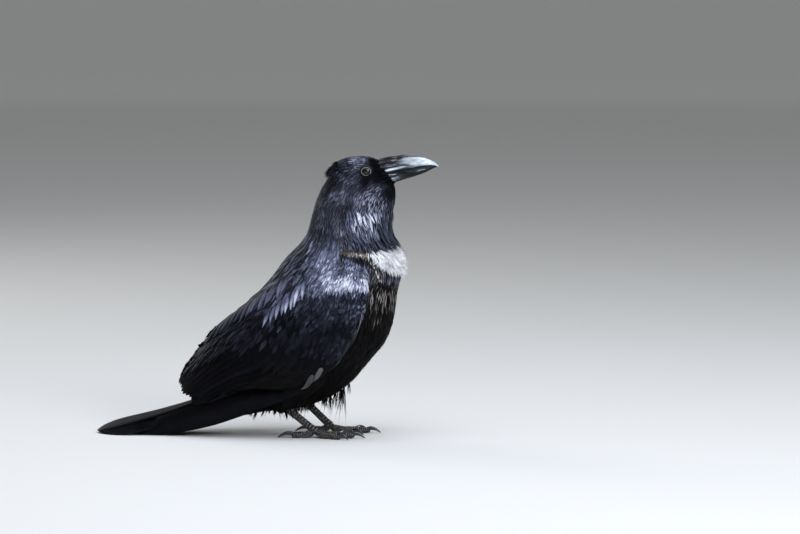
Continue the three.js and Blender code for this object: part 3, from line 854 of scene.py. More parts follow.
HANGING_ROWS = [  # roots and tips as for the coverts; count; width; height of the tip; tone, a painted highlight of the sky
    [[8, 190], [-52, 146], [-12, 160], [-72, 114], 8, 9.5, 0.6, 0.2],
    [[34, 206], [-14, 176], [22, 177], [-30, 143], 8, 8.5, 0.9, 0.4],
    [[52, 197], [10, 165], [49, 170], [3, 137], 8, 6.2, 1.8, 0.9],
]
LOWEST = [  # x, z: no small feather is rooted below this line
    [-110, 76], [-80, 96], [-50, 112], [-20, 128], [5, 134], [30, 124], [70, 114], [95, 104], [135, 90],
]
BLACK_TO_SKY_SHEEN = [(0, "#030303"), (0.1, "#1f2028"), (0.45, "#6a6f86"), (1, "#ced1dd")]  # of tones 0 to 1: black, paling to the blue-grey of the sky's sheen painted on
# Painted highlight: besides the feathers' own black, brown and white, these tones are paled where the sky's
# sheen falls, most on the crown, the throat, the band of lesser coverts and the scapulars.
TONE_AND_SHEEN = [  # places in the side view x, z; tone of the feathers there, with their painted sheen; how much it varies
    [101, 337, 0.3, 1.0], [118, 341, 0.6, 0.8], [82, 320, 0.1, 0.9], [96, 308, 0.5, 0.3],
    [112, 314, 0.42, 0.4], [141, 322, 0.0, 0.5], [128, 319, 0.0, 0.5], [132, 300, 0.85, 0.8],
    [137, 308, 0.8, 0.8], [118, 303, 0.5, 0.5], [145, 298, 0.5, 1.0], [154, 305, 0.04, 0.8],
    [80, 278, 0.52, 0.35], [101, 262, 0.57, 0.3], [89, 244, 0.45, 0.2], [64, 256, 0.34, 0.6],
    [150, 272, 0.2, 1.0], [112, 284, 0.4, 0.4], [120, 240, 0.3, 0.7], [136, 332, 0.02, 0.6],
    [50, 236, 0.16, 0.9], [86, 300, 0.36, 0.5], [122, 208, 0.45, 0.4], [100, 216, 0.52, 0.4],
    [70, 220, 0.46, 0.45], [45, 212, 0.22, 0.7], [126, 190, 1.05, 0.25], [105, 191, 1.15, 0.25],
    [87, 189, 0.95, 0.3], [64, 186, 0.4, 0.5], [124, 178, 0.12, 0.8], [104, 178, 0.12, 0.8],
    [84, 176, 0.14, 0.5], [66, 172, 0.12, 0.5], [62, 150, 0.1, 0.5], [96, 138, 0.04, 0.6],
    [30, 145, 0.06, 1.0], [28, 205, 0.16, 1.0], [38, 187, 0.2, 0.9], [100, 160, 0.12, 0.4],
    [66, 128, 0.04, 0.5], [30, 112, 0.04, 0.8], [18, 175, 0.12, 0.9], [2, 160, 0.08, 0.9],
    [0, 188, 0.14, 1.0], [-20, 140, 0.04, 1.0], [-35, 155, 0.07, 1.0], [-62, 118, 0.035, 1.0],
    [-85, 96, 0.02, 1.0], [-60, 140, 0.03, 1.0], [142, 192, 0.75, 1.0], [140, 165, 0.3, 1.0],
    [130, 135, 0.12, 1.0], [90, 80, 0.04, 1.0], [40, 50, 0.03, 1.0], [-20, 45, 0.03, 1.0],
]


def blended(table, place, soft):
    """The columns of a table from its third on, at places in metres: each row is weighted by one over
    the fourth power of its distance in the side view, kept finite by `soft` square millimetres."""
    table = np.array(table, float)
    dx = place[..., 0:1] / MM - table[:, 0]
    dz = place[..., 2:3] / MM - table[:, 1]
    weight = 1 / (dx ** 2 + dz ** 2 + soft) ** 2
    weight /= weight.sum(-1, keepdims=True)
    return [(weight * column).sum(-1) for column in table.T[2:]]


def tone_and_sheen_at(place):
    """Tones of the feathers rooted at places in metres, with their painted sheen; where they vary, a few are
    much paler than the rest: a random share to the power of 1.8."""
    tone, vary = blended(TONE_AND_SHEEN, place, soft=6)
    return tone * (1 - vary + vary * 2.4 * chance.uniform(0, 1, len(place)) ** 1.8)


def lie_at(place):
    """The way, length and width of the wing's small feathers at places in metres."""
    degrees, length, width = blended(LIE, place, soft=9)
    angle = np.radians(degrees)
    return np.stack([-np.cos(angle), 0 * angle, -np.sin(angle)], -1), length, width


covert_blue = feather_finish("covert_blue_black", BLACK_TO_SKY_SHEEN, roughness=0.38, specular=0.12, tint="#aab4e0",
                             barb=0.8)
for side, side_name in SIDE_NAMES.items():
    def face(t, s, side=side):
        """The wing's outer face."""
        return wing(WING, t, s, side)

    def width_at(t, s, side=side):
        """The width of the feathers there."""
        return lie_at(wing(WING, t, s, side))[2]

    t, s = down_the_file(face, (0.0, 0.95), np.linspace(0.0, 0.99, 74), width_at, along=0.62, across=0.5)
    root = face(t, np.clip(s, 0, 1))
    lowest = np.interp(root[:, 0] / MM, *np.transpose(LOWEST))
    kept = root[:, 2] / MM > lowest + chance.uniform(-3, 3, len(t))
    kept &= s > np.interp(t, [0.45, 0.6], [0, 0.015])
    t, s, root = t[kept], s[kept], root[kept]
    way, length, width = lie_at(root)
    count = len(t)
    way = turned(way, np.array([0, float(side), 0]), chance.normal(0, 5, count))
    edge = (np.clip(1 - s / 0.16, 0, 1) * (t > 0.4))[:, None]
    way = unit(way * (1 - edge) + flow(face, t, s, 0.01) * edge)
    centre, normal = drape(root, way, length * chance.uniform(0.85, 1.15, count) * MM, 8)
    high = chance.uniform(-0.3, 0.6, count) * (1 - edge[:, 0]) - 0.8 * edge[:, 0]
    grid = vanes(centre, normal, width * (1 - 0.4 * edge[:, 0]) * chance.uniform(0.85, 1.1, count) * MM,
                 rise(count, 8, -3.0, high), "round", 5, 0.3, 0.05)
    parts = [(grid, tone_and_sheen_at(centre[:, 5]), wing_home(t, s, side))]
    for first, last, tip_first, tip_last, count, width, high, pale in HANGING_ROWS:
        place = np.linspace(0, 1, count)[:, None] + chance.uniform(-0.02, 0.02, (count, 1))
        root, tip = between(first, last, place), between(tip_first, tip_last, place)
        tip += chance.uniform(-1.5, 1.5, tip.shape)
        centre, normal = side_lines(root, tip, 10, side, -1.0)
        grid = vanes(centre, normal, width * MM, rise(count, 10, high - 3.0, high), "round", 5, 0.35, 0.03)
        t, s = wing_at(root[:, 0], root[:, 1])
        # painted highlight: each row is paler towards its front, the fingers most
        tone = pale * (1 - 0.5 * place[:, 0]) * chance.uniform(0.7, 1.15, count)
        parts.append((shafted(grid, 0.2), tone, wing_home(t, s, side)))
    put_coat(f"shoulder_feathers_{side_name}", parts, covert_blue)

# ================================================================ edges of the wing
# Along the wing's lower edge small firm feathers wrap round onto its underside. One stiff pale quill
# lies along the leading edge; on the right side two worn grey feathers show below the coverts.
PALE_QUILL = [(132, 182), (110, 112), 1.9]  # root and tip in the side view; width
WORN = [[(66, 82), (49, 59), 9.5], [(76, 91), (64, 73), 7.0]]  # the same, of each worn feather
WORN_GREY = [(0, "#141416"), (1, "#8d8f94")]
BROWN_BLACK = [(0, "#030303"), (0.4, "#1b1a1a"), (1, "#8c8782")]

pale_worn = feather_finish("worn_grey_feather", WORN_GREY, roughness=0.5, specular=0.2, tint="#d8dcec",
                           barb=0.9, rim=0.8, root=0.7)
belly_black = feather_finish("belly_brown_black", BROWN_BLACK, roughness=0.6, specular=0.08, tint="#d0d0d8",
                             barb=0.9)
for side, side_name in SIDE_NAMES.items():
    def wrapped(t, s, side=side):
        """The wing's face, carried round its lower edge onto the underside where s is over 1."""
        place = wing(WING, t, np.minimum(s, 1), side)
        place[..., 1] -= side * np.maximum(s - 1, 0) * 60 * MM
        return place

    t, s = down_the_file(wrapped, (0.0, 0.82), np.linspace(0.74, 1.16, 26), lambda t, s: 9 + 5 * t,
                         along=0.5, across=0.42)
    kept = s > np.interp(t, [0, 0.5, 0.75], [0.8, 0.74, 0.95])
    t, s = t[kept], s[kept]
    root, count = wrapped(t, s), len(t)
    centre, normal = drape(root, flow(wrapped, t, s, 0.01), (19 + 8 * t) * MM, 7)
    grid = vanes(centre, normal, (7 + 3 * t) * MM, rise(count, 7, -3.2, -1.0), "round", 5, 0.25, 0.05)
    parts = [(grid, 0.16 * chance.uniform(0, 1, count), wing_home(t, s, side))]
    put_coat(f"wing_edge_{side_name}", parts, belly_black)
    rows = [PALE_QUILL] + (WORN if side < 0 else [])
    parts = []
    for root, tip, width in rows:
        centre, normal = side_lines(np.array([root], float), np.array([tip], float), 14, side, 0.0)
        outline, tone = ("lance", 0.75) if width < 3 else ("round", 2.5 / width)
        grid = vanes(centre, normal, width * MM, rise(1, 14, -2.5, 1.4, 0.5), outline, 5, 0.3, 0.03)
        t, s = wing_at(np.array([root[0]]), np.array([root[1]]))
        parts.append((grid, tone, wing_home(t, s, side)))
    put_coat(f"pale_feathers_{side_name}", parts, pale_worn)

# ================================================================ body coat
# The small feathers of the trunk: firm pointed ones on the back, and looser, frayed lances on the breast
# and the belly. They leave room for the white patch, which has its own.
WING_FRONT = [  # the wing's lower and front edge in the side view x, z
    [14, 58], [40, 62], [66, 73], [89, 89], [104, 110], [117, 133], [126, 155], [131, 174], [131, 187],
    [130, 210], [121, 219], [103, 226],
]


def outermost(root, within):
    """Whether roots on one part of the form are on its outside, to some millimetres, and so not covered
    by another part."""
    return np.linalg.norm(cling(root)[0] - root, axis=-1) < within * MM


def body_coat(span, turns, size, along, across, length, width, outline, low, high, steps, columns, camber,
              wander=6.0, fray=0.06, where=None, bib=False, lean=0.0):
    """Feathers over the body between two shares of its length, left out where a wing covers it; length
    and width are in sizes, wander is how far their lie strays, in degrees, and lean turns it forwards.
    Gives their points and their roots' shares, turns and places."""
    u, turn = down_the_file(body, span, turns, size, along, across)
    root = body(u, turn)
    kept = ((in_bib(root) > 0) == bib) & outermost(root, within=1.7)
    if where is not None:
        kept &= where(u, turn, root)
    u, turn, root = u[kept], turn[kept], root[kept]
    count = len(u)
    local = size(u, turn)
    way = unit(flow(body, u, turn) + [lean, 0, 0])
    way = turned(way, unit(root - body(u, turn, 5.0)), chance.normal(0, wander, count))
    centre, normal = drape(root, way, local * length * chance.uniform(0.85, 1.15, count) * MM, steps)
    high = spread(high(root) if callable(high) else high, count) + chance.uniform(-0.3, 0.4, count)
    grid = vanes(centre, normal, local * width * MM, rise(count, steps, low, high), outline, columns, camber,
                 fray)
    return grid, u, turn, root


def turns_between(low, high, count):
    """Evenly spaced turns round the body, in degrees from the back."""
    return np.radians(np.linspace(low, high, count))


def off_wing(u, turn, root):
    """Whether a root lies in front of the wing or below it."""
    edge = np.interp(root[:, 2] / MM, *np.transpose(WING_FRONT)[::-1], left=-999, right=-999)
    return root[:, 0] / MM > edge - 4


back_blue = feather_finish("back_blue_black", BLACK_TO_SKY_SHEEN, roughness=0.4, specular=0.1, tint="#b0b8e0",
                           barb=0.8)
mantle, u, turn, root = body_coat(
    (0.44, 0.94), turns_between(-78, 78, 56), lambda u, turn: 8 + 7 * u, along=0.36, across=0.34,
    length=2.0, width=0.5, outline="pointed", low=-3.0, high=0.3, steps=7, columns=5, camber=0.35)
put_coat("mantle", [(mantle, tone_and_sheen_at(root), skin_home(u, turn))], back_blue)
breast, u, turn, root = body_coat(
    (0.46, 0.99), turns_between(78, 282, 110), lambda u, turn: 9 + 6 * u, along=0.32, across=0.26,
    length=1.9, width=0.38, outline="lance", low=-4.0, high=0.0, steps=7, columns=3, camber=0.3,
    wander=9.0, fray=0.2, where=off_wing)
put_coat("breast_and_belly", [(breast, tone_and_sheen_at(root), skin_home(u, turn))], belly_black)

# ================================================================ thighs, wisps and tail coverts
# Trousers of soft loose plumes down to the ankles, wisps that hang free under the belly and round the
# ankles, and firmer coverts all round the tail's root. Each plume or wisp is a fan of thin blades, the
# barbs of a downy feather hanging together.
PLUME_BLADES = 6
PLUME_FAN = 16.0  # how far the blades of a plume spread, in degrees
WISPS = [  # roots from x, z to x, z beneath the body; half spread in y; count; length; how far forwards
    [(100, 68), (70, 48), 18, 20, 36, -0.12],  # the belly's, in front of the legs
    [(60, 44), (20, 38), 30, 46, 15, -0.5],  # between and behind the legs
    [(16, 36), (-30, 32), 22, 30, 11, -0.8],  # under the vent
]
ANKLE_WISPS = 60


def plumes(root, way, length, width, low, high, sag, steps):
    """Fans of hair-thin blades that share a root and lie over the form."""
    count = len(root) * PLUME_BLADES
    root = np.repeat(root, PLUME_BLADES, 0)
    ways = turned(np.repeat(way, PLUME_BLADES, 0), cling(root)[1], chance.normal(0, PLUME_FAN, count))
    lengths = np.repeat(length, PLUME_BLADES) * chance.uniform(0.6, 1.1, count)
    centre, normal = drape(root, unit(ways), lengths * MM, steps, sag)
    lift = rise(count, steps, low, high + chance.uniform(-0.8, 1.2, count))
    return vanes(centre, normal, width * MM, lift, "hair", 3, 0.5, 0.1)


def plume_home(across, down):
    """The places of fans' roots on the unwrap of the body's skin, once for each blade."""
    return np.repeat(np.stack([across + 0 * down, down], -1), PLUME_BLADES, 0)


def thigh(t, turn, side):
    """The surface of a feathered thigh, at share t from the flank to the ankle: an ellipse across the
    line through its rows."""
    row = curve(thigh_rows(side), t)
    centre, across, deep = row[..., 0:3], row[..., 3], row[..., 4]
    down = unit(curve(thigh_rows(side), t + 0.02)[..., 0:3] - curve(thigh_rows(side), t - 0.02)[..., 0:3])
    sideways = unit(np.cross([0, 0, 1.0], down))
    over = np.cross(down, sideways)
    out = sideways * (across * np.cos(turn))[..., None] + over * (deep * np.sin(turn))[..., None]
    return (centre + out) * MM


for side, side_name in SIDE_NAMES.items():
    def leg_form(t, turn, side=side):
        """The thigh of this side."""
        return thigh(t, turn, side)

    t, turn = down_the_file(leg_form, (0.03, 0.97), turns_between(0, 354, 40), lambda t, turn: 9 - 4 * t,
                            along=0.5, across=0.4)
    root = leg_form(t, turn)
    kept = outermost(root, within=2.5)
    t, turn, root = t[kept], turn[kept], root[kept]
    grid = plumes(root, flow(leg_form, t, turn), 26 - 14 * t, width=1.5, low=-2.5, high=0.0, sag=0.1, steps=6)
    home = plume_home(0.5 - side * 0.25 + 0.05 * np.cos(turn), 1.05 + 0.2 * t)
    put_coat(f"thigh_plumes_{side_name}", [(grid, 0.3 * chance.uniform(0, 1, len(grid)), home)], belly_black)


def wisps(root, way, length, width, sag, fan):
    """Loose plumes that hang free of the body: each a fan of thin blades from one root, along `way`,
    strayed from it by fan, and bending down by sag as a parabola."""
    count = len(root) * PLUME_BLADES
    ways = np.repeat(way, PLUME_BLADES, 0) + fan * chance.normal(0, 1, (count, 3))
    lengths = np.repeat(length, PLUME_BLADES) * chance.uniform(0.55, 1.05, count) * MM
    share = np.linspace(0, 1, 8)[None, :, None]
    down = np.array([0, 0, -1.0])
    line = np.repeat(root, PLUME_BLADES, 0)[:, None]
    line = line + lengths[:, None, None] * (share * unit(ways)[:, None] + sag * share ** 2 * down)
    normal = unit(np.cross(np.cross(unit(ways), [0, 1.0, 0.2]), unit(ways)))[:, None] + 0 * line
    return vanes(line, normal, width * MM, 0 * line[..., 0], "hair", 3, 0.4, 0.15)


parts = []
for first, last, half, count, length, forward in WISPS:
    place = chance.uniform(0, 1, (count, 1))
    x, z = between(first, last, place).T
    root = cling(np.stack([x, half * chance.uniform(-1, 1, count), z], -1) * MM)[0]
    way = np.stack([forward + 0 * x, 0.1 * chance.normal(0, 1, count), -1 + 0 * x], -1)
    longest = length * (0.35 + 0.65 * np.sin(np.pi * place[:, 0]))
    grid = wisps(root, way, longest * chance.uniform(0.5, 1.1, count), width=0.8, sag=0.3, fan=0.2)
    parts.append((grid, 0.5 * chance.uniform(0, 1, len(grid)), plume_home(0.5, 0.8 + 0.1 * place[:, 0])))
for side in ANKLES:
    turn, t = chance.uniform(0, 2 * np.pi, ANKLE_WISPS), chance.uniform(0.55, 0.9, ANKLE_WISPS)
    root = thigh(t, turn, side)
    out = unit(root - thigh(t, turn + np.pi, side))
    grid = wisps(root, 0.35 * out + [0.25, 0, -1], chance.uniform(7, 15, ANKLE_WISPS), width=1.0, sag=0.2,
                 fan=0.12)
    home = plume_home(0.5 - side * 0.25, 1.05 + 0.2 * t)
    parts.append((grid, 0.3 * chance.uniform(0, 1, len(grid)), home))
put_coat("belly_wisps", parts, belly_black)


def tail_root(t, turn):
    """The root of the tail, round: turn 0 is its top and pi its underside."""
    return tail(t * 0.5, np.sin(turn) * 0.97, np.clip(3 * np.cos(turn), -1, 1))


def root_size(t, turn):
    """Size of the tail's coverts, in millimetres."""
    return 14 - 4 * np.abs(np.sin(turn)) + 0 * t


t, turn = down_the_file(tail_root, (0.02, 0.9), turns_between(0, 351, 40), root_size, along=0.5, across=0.42)
root = tail_root(t, turn)
kept = outermost(root, within=2.5)
t, turn, root = t[kept], turn[kept], root[kept]
local = root_size(t, turn) * MM
centre, normal = drape(root, flow(tail_root, t, turn), 1.8 * local, 7)
grid = vanes(centre, normal, 0.55 * local, rise(len(t), 7, -3.0, 0.2), "pointed", 3, 0.25, 0.1)
grid[..., 2] = np.maximum(grid[..., 2], 0.5 * MM)
put_coat("tail_coverts", [(grid, 0.2 * chance.uniform(0, 1, len(t)), skin_home(0.9 + 0.1 * t, turn))],
         belly_black)

# ================================================================ neck and head
# Fine narrow feathers, like hair from a distance: sleek on the crown and nape, with a small ruffled tuft
# behind the head, and long lances on the neck. They keep clear of the eyes' lids.
BLACK_TO_NECK_SHEEN = [(0, "#040404"), (0.3, "#31333d"), (1, "#8c90a3")]  # of tones 0 to 1: black, paling to the blue-grey of the sky's sheen painted on
EYE = {"x": 124.5, "y": 16.0, "z": 328, "radius": 7.0}  # the left eye's middle; the ball's radius
TUFT = [87, 0, 331]  # the tuft's middle
TUFT_WISPS = 110

neck_blue = feather_finish("neck_blue_black", BLACK_TO_NECK_SHEEN, roughness=0.45, specular=0.1, tint="#c4c8e0",
                           barb=0.7)
head_black = feather_finish("head_blue_black", BLACK_TO_NECK_SHEEN, roughness=0.45, specular=0.05, tint="#b8c0e8",
                            barb=0.6, rim=0.5)
neck, u, turn, root = body_coat(
    (0.27, 0.55), turns_between(-180, 178, 220), lambda u, turn: 5 + 8 * u, along=0.3, across=0.22,
    length=1.8, width=0.25, outline="lance", low=-3.5, high=0.0, steps=6, columns=3, camber=0.35,
    wander=7.0, lean=0.15)
put_coat("neck_feathers", [(neck, tone_and_sheen_at(root), skin_home(u, turn))], neck_blue)


def from_eye(root):
    """Millimetres from the axis through both eyes, heights counting a little more."""
    return np.hypot(root[..., 0] / MM - EYE["x"], (root[..., 2] / MM - EYE["z"]) / 0.9)


def head_size(u, turn):
    """Feather size on the head: smallest at the bill and round the eyes."""
    return (2.2 + 15 * u) * np.clip(from_eye(body(u, turn)) / 20, 0.4, 1)


def off_eye(u, turn, root):
    """Whether a root is clear of the lids."""
    return from_eye(root) > EYE["radius"]


def near_spot(root, x, z, half_x, half_z):
    """1 at a place of the side view, falling off as a bell curve with the two half widths given."""
    return np.exp(-((root[:, 0] / MM - x) / half_x) ** 2 - ((root[:, 2] / MM - z) / half_z) ** 2)


def nape_height(root):
    """Heights of the tips, in millimetres: they stand out behind the nape, under the tuft."""
    return 1.4 * near_spot(root, 84, 330, half_x=6, half_z=9)


tuft_root = cling((np.array(TUFT) + chance.normal(0, 1, (TUFT_WISPS, 3)) * [3, 9, 5]) * MM)[0]
tuft_way = np.array([-0.8, 0, -0.62]) + chance.normal(0, 0.1, (TUFT_WISPS, 3)) + tuft_root * [0, 8, 0]
tuft = wisps(tuft_root, tuft_way, chance.uniform(5, 13, TUFT_WISPS), width=0.75, sag=0.06, fan=0.12)
tuft_home = np.repeat(skin_home(0.24 + 0 * tuft_root[:, 0], tuft_root[:, 1] / 0.03), PLUME_BLADES, 0)
head, u, turn, root = body_coat(
    (0.004, 0.31), turns_between(-180, 178, 150), head_size, along=0.32, across=0.3, length=2.1, width=0.5,
    outline="pointed", low=-1.6, high=nape_height, steps=5, columns=3, camber=0.3, where=off_eye)
parts = [(head, tone_and_sheen_at(root), skin_home(u, turn)), (tuft, 0.3 * chance.uniform(0, 1, len(tuft)), tuft_home)]
put_coat("head_feathers", parts, head_black)

# ================================================================ white patch of the breast
# A wedge of short fluffed white feathers from the side of the neck round the front of the breast, thick
# and loose. Matt and near white, greyer towards its rim.
BIB_WHITE = [(0, "#3e3d3c"), (0.35, "#c2c4c8"), (1, "#ffffff")]
bib_white = feather_finish("bib_white", BIB_WHITE, roughness=0.8, specular=0.15, tint="#ffffff", barb=0.6,
                           rim=0.75, root=0.5)


def fluffed(root):
    """Heights of the bib's tips: it stands out most in front."""
    return np.interp(root[:, 0] / MM, [125, 148, 165], [0.3, 1.3, 2.2]) + chance.uniform(-2, 4.0, len(root))


bib, u, turn, root = body_coat(
    (0.33, 0.64), turns_between(80, 280, 220), lambda u, turn: 8 + 0 * u, along=0.17, across=0.14,
    length=1.35, width=0.15, outline="lance", low=-3.0, high=fluffed, steps=6, columns=3, camber=0.35,
    wander=20.0, bib=True)
tone = np.clip(0.6 + 0.8 * in_bib(root), 0, 1) * chance.uniform(0.4, 1.2, len(u))
put_coat("breast_bib", [(bib, tone, skin_home(u, turn))], bib_white)

# ================================================================ hackles and fringe
# Long stiff lances hang down both sides of the throat and out over the white patch, painted pale where
# they face the sky as their highlight, with dark gaps between them, deepened by painted shade at their
# edges, and two dark pointed locks on each side of the breast. A line of ruffled feathers with buff tips
# runs where the neck's coat meets the shoulder's.
HACKLES = [129, 262, 33, 34]  # the middle of the patch in the side view x, z; half axes
LOCKS = [  # root and tip in the side view; distance from the middle of the throat
    [(146, 262), (153, 230), 24],
    [(152, 258), (158, 234), 12],
]
LOCK_LANCES = 32  # in each pair of locks
FRINGE = 130  # feathers on each side
# black, paling to the blue-grey of the sky's sheen painted on where the hackles face it
HACKLE_BLACK_TO_SHEEN = [(0, "#0a0b0e"), (0.35, "#555a6e"), (1, "#d2d6e6")]
BUFF = [(0, "#0b0a0a"), (0.5, "#5b544e"), (1, "#d8d2ca")]

hackle_sheen_finish = feather_finish("hackle_black_painted_sheen", HACKLE_BLACK_TO_SHEEN, roughness=0.36, specular=0.2, tint="#d0d6f0",
                             barb=0.8, rim=0.2)
# root 0.1 darkens each base: the feather's own dark base under its buff tip, and painted shade where the next
# overlaps it
buff_tips = feather_finish("buff_fringe", BUFF, roughness=0.7, specular=0.15, tint="#f0e8e0", barb=0.7,
                           rim=0.7, root=0.1)


def in_hackles(u, turn, root):
    """Whether a root is inside the patch of hackles, which wraps the throat."""
    dx, dz = (root[:, 0] / MM - HACKLES[0]) / HACKLES[2], (root[:, 2] / MM - HACKLES[1]) / HACKLES[3]
    return (dx ** 2 + dz ** 2 < 1) & (dz < 0.65)


def hackle_height(root):
    """Heights of the hackles' tips, in millimetres: each stands off the coat by its own amount."""
    return chance.uniform(0.8, 2.8, len(root))


hackles, u, turn, root = body_coat(
    (0.16, 0.44), turns_between(80, 280, 96), lambda u, turn: 11 + 0 * u, along=0.42, across=0.28,
    length=1.6, width=0.22, outline="lance", low=-1.5, high=hackle_height, steps=9, columns=5, camber=0.5,
    wander=12.0, where=in_hackles, lean=0.6)
# painted highlight: a pale patch where the hackles face the sky
pale = near_spot(root, 123, 281, half_x=17, half_z=15)
tone = (0.3 + 1.65 * pale) * chance.uniform(0.3, 1.25, len(u))
parts = [(shafted(hackles, 0.2), tone, skin_home(u, turn))]
for (root_x, root_z), (tip_x, tip_z), off in LOCKS:
    count = LOCK_LANCES
    y = np.repeat(np.array([-1, 1]), count // 2) * off + chance.normal(0, 2.5, count)
    root = np.stack([root_x + chance.normal(0, 3, count), y, root_z + chance.normal(0, 5, count)], -1) * MM
    way = unit(np.array([(tip_x - root_x) * MM, 0, (tip_z - root_z) * MM]))
    centre, normal = drape(cling(root)[0], way[None] + 0 * root, chance.uniform(20, 34, count) * MM, 9)
    lift = rise(count, 9, 0.5, chance.uniform(5, 7, count))
    grid = shafted(vanes(centre, normal, 3.4 * MM, lift, "lance", 5, 0.5, 0.03), 0.2)
    home = skin_home(0.35 + 0 * y, np.pi + y / 50)
    parts.append((grid, 0.12 * chance.uniform(0.3, 2, count), home))
put_coat("throat_hackles", parts, hackle_sheen_finish)
for side, side_name in SIDE_NAMES.items():
    place = chance.uniform(0, 1, FRINGE)
    x, z = 98 + 38 * place, 230 - 5 * place ** 2 + chance.normal(0, 1.0, FRINGE)
    x = np.where(place > 0.8, x + 60 * (place - 0.8), x)
    z = np.where(place > 0.8, z - 150 * (place - 0.8), z)
    root = cling(np.stack([x, side * (40 + 0 * x), z], -1) * MM)[0]
    way = unit(np.stack([-0.6 + 0.5 * place, 0 * x, -1 + 0 * x], -1))
    centre, normal = drape(root, way, chance.uniform(3.5, 7, FRINGE) * MM, 6)
    lift = rise(FRINGE, 6, -1, chance.uniform(0.8, 2.4, FRINGE))
    grid = vanes(centre, normal, 1.7 * MM, lift, "lance", 3, 0.4, 0.2)
    tone = (0.45 + 0.75 * place) * chance.uniform(0.25, 1.3, FRINGE)
    put_coat(f"buff_fringe_{side_name}", [(grid, tone, skin_home(0.5 + 0 * x, 0.5 * np.pi + 0.2 * place))],
             buff_tips)

# ================================================================ eyes
# Glossy dark brown eyeballs with a black pupil, held in black wrinkled lids with a thin pale ring of
# bare skin round them.
LID = [  # distance from the eye's axis, height over the eyeball's middle
    [3.95, 5.5], [4.0, 6.0], [4.4, 6.3], [4.9, 6.05], [5.5, 5.65], [6.1, 5.6], [6.7, 5.2], [7.2, 4.6],
    [8.0, 3.6], [9.0, 2.0],
]
LID_THICK = 0.8
LID_FLAT = 0.84  # height of the lids' opening as a share of its length
PUPIL = [1.9, 2.1]  # where its soft edge starts and ends, from the eye's axis
BARE_RING = 5.85  # the middle of the pale ring, from the eye's axis
BALL_STEPS, BALL_SIDES = 25, 40
LID_STEPS, LID_SIDES = 40, 64


def turned_on_axis(section, steps, sides, side, flat=1.0):
    """Turns a section (radius, height) round an eye's axis, which points outwards from the head; flat
    squeezes it upright."""
    row = curve(section, np.linspace(0, 1, steps))
    angle = np.linspace(0, 2 * np.pi, sides, endpoint=False) * side
    x = EYE["x"] + row[:, 0:1] * np.cos(angle)
    z = EYE["z"] + row[:, 0:1] * np.sin(angle) * flat
    y = side * (EYE["y"] + row[:, 1:2]) + 0 * x
    return np.stack([x, y, z], -1) * MM


def rings_of_eye(tree, place, height):
    """The nodes of a place's offset from the eye's axis in the side view, in millimetres with heights
    multiplied by height, and of its length."""
    middle = (-EYE["x"] * MM, 0, -EYE["z"] * MM)
    centred = add_node(tree, "VectorMath", {0: place, 1: middle}, operation="ADD")
    scale = (1000, 0, 1000 * height)
    flat = add_node(tree, "VectorMath", {0: centred.outputs[0], 1: scale}, operation="MULTIPLY")
    return flat, add_node(tree, "VectorMath", {0: flat.outputs[0]}, operation="LENGTH")


def eyeball():
    """A wet cornea over a dark brown iris and a black pupil, with faint spokes of 0.4 mm in the iris."""
    finish, tree, shader = new_finish("eyeball", Roughness=0.05, Specular_IOR_Level=0.05, Coat_Weight=0.9,
                                      Coat_Roughness=0.02)
    place = add_node(tree, "TexCoord").outputs["Object"]
    flat, out = rings_of_eye(tree, place, 1)
    pupil = add_node(tree, "MapRange", {"Value": out.outputs["Value"], "From Min": PUPIL[0],
                                        "From Max": PUPIL[1]})
    spokes = add_node(tree, "TexNoise", {"Vector": flat.outputs[0], "Scale": 2.5, "Detail": 3.0})
    iris = add_node(tree, "Mix", {0: spokes.outputs["Fac"], 6: linear("#050302"), 7: linear("#140b08")},
                    data_type="RGBA")
    colour = add_node(tree, "Mix", {0: pupil.outputs[0], 6: linear("#010101"), 7: iris.outputs[2]},
                      data_type="RGBA")
    tree.links.new(colour.outputs[2], shader.inputs["Base Color"])
    return finish


def eyelid():
    """Dry black skin in folds 0.7 mm apart, with a pale band where the bare ring runs round the eye."""
    finish, tree, shader = new_finish("eyelid", Roughness=0.6, Specular_IOR_Level=0.2)
    place = add_node(tree, "TexCoord").outputs["Object"]
    out = rings_of_eye(tree, place, 1.22)[1]
    off = add_node(tree, "Math", {0: out.outputs["Value"], 1: BARE_RING}, operation="SUBTRACT")
    away = add_node(tree, "Math", {0: off.outputs[0]}, operation="ABSOLUTE")
    ring = add_node(tree, "MapRange", {"Value": away.outputs[0], "From Min": 0.12, "From Max": 0.45,
                                       "To Min": 0.9, "To Max": 0.0})
    colour = add_node(tree, "Mix", {0: ring.outputs[0], 6: linear("#030303"), 7: linear("#94928f")},
                      data_type="RGBA")
    tree.links.new(colour.outputs[2], shader.inputs["Base Color"])
    folds = add_node(tree, "TexVoronoi", {"Vector": place, "Scale": 1 / (0.7 * MM)})
    bump = add_node(tree, "Bump", {"Height": folds.outputs["Distance"], "Strength": 0.5,
                                   "Distance": 0.2 * MM})
    tree.links.new(bump.outputs["Normal"], shader.inputs["Normal"])
    return finish


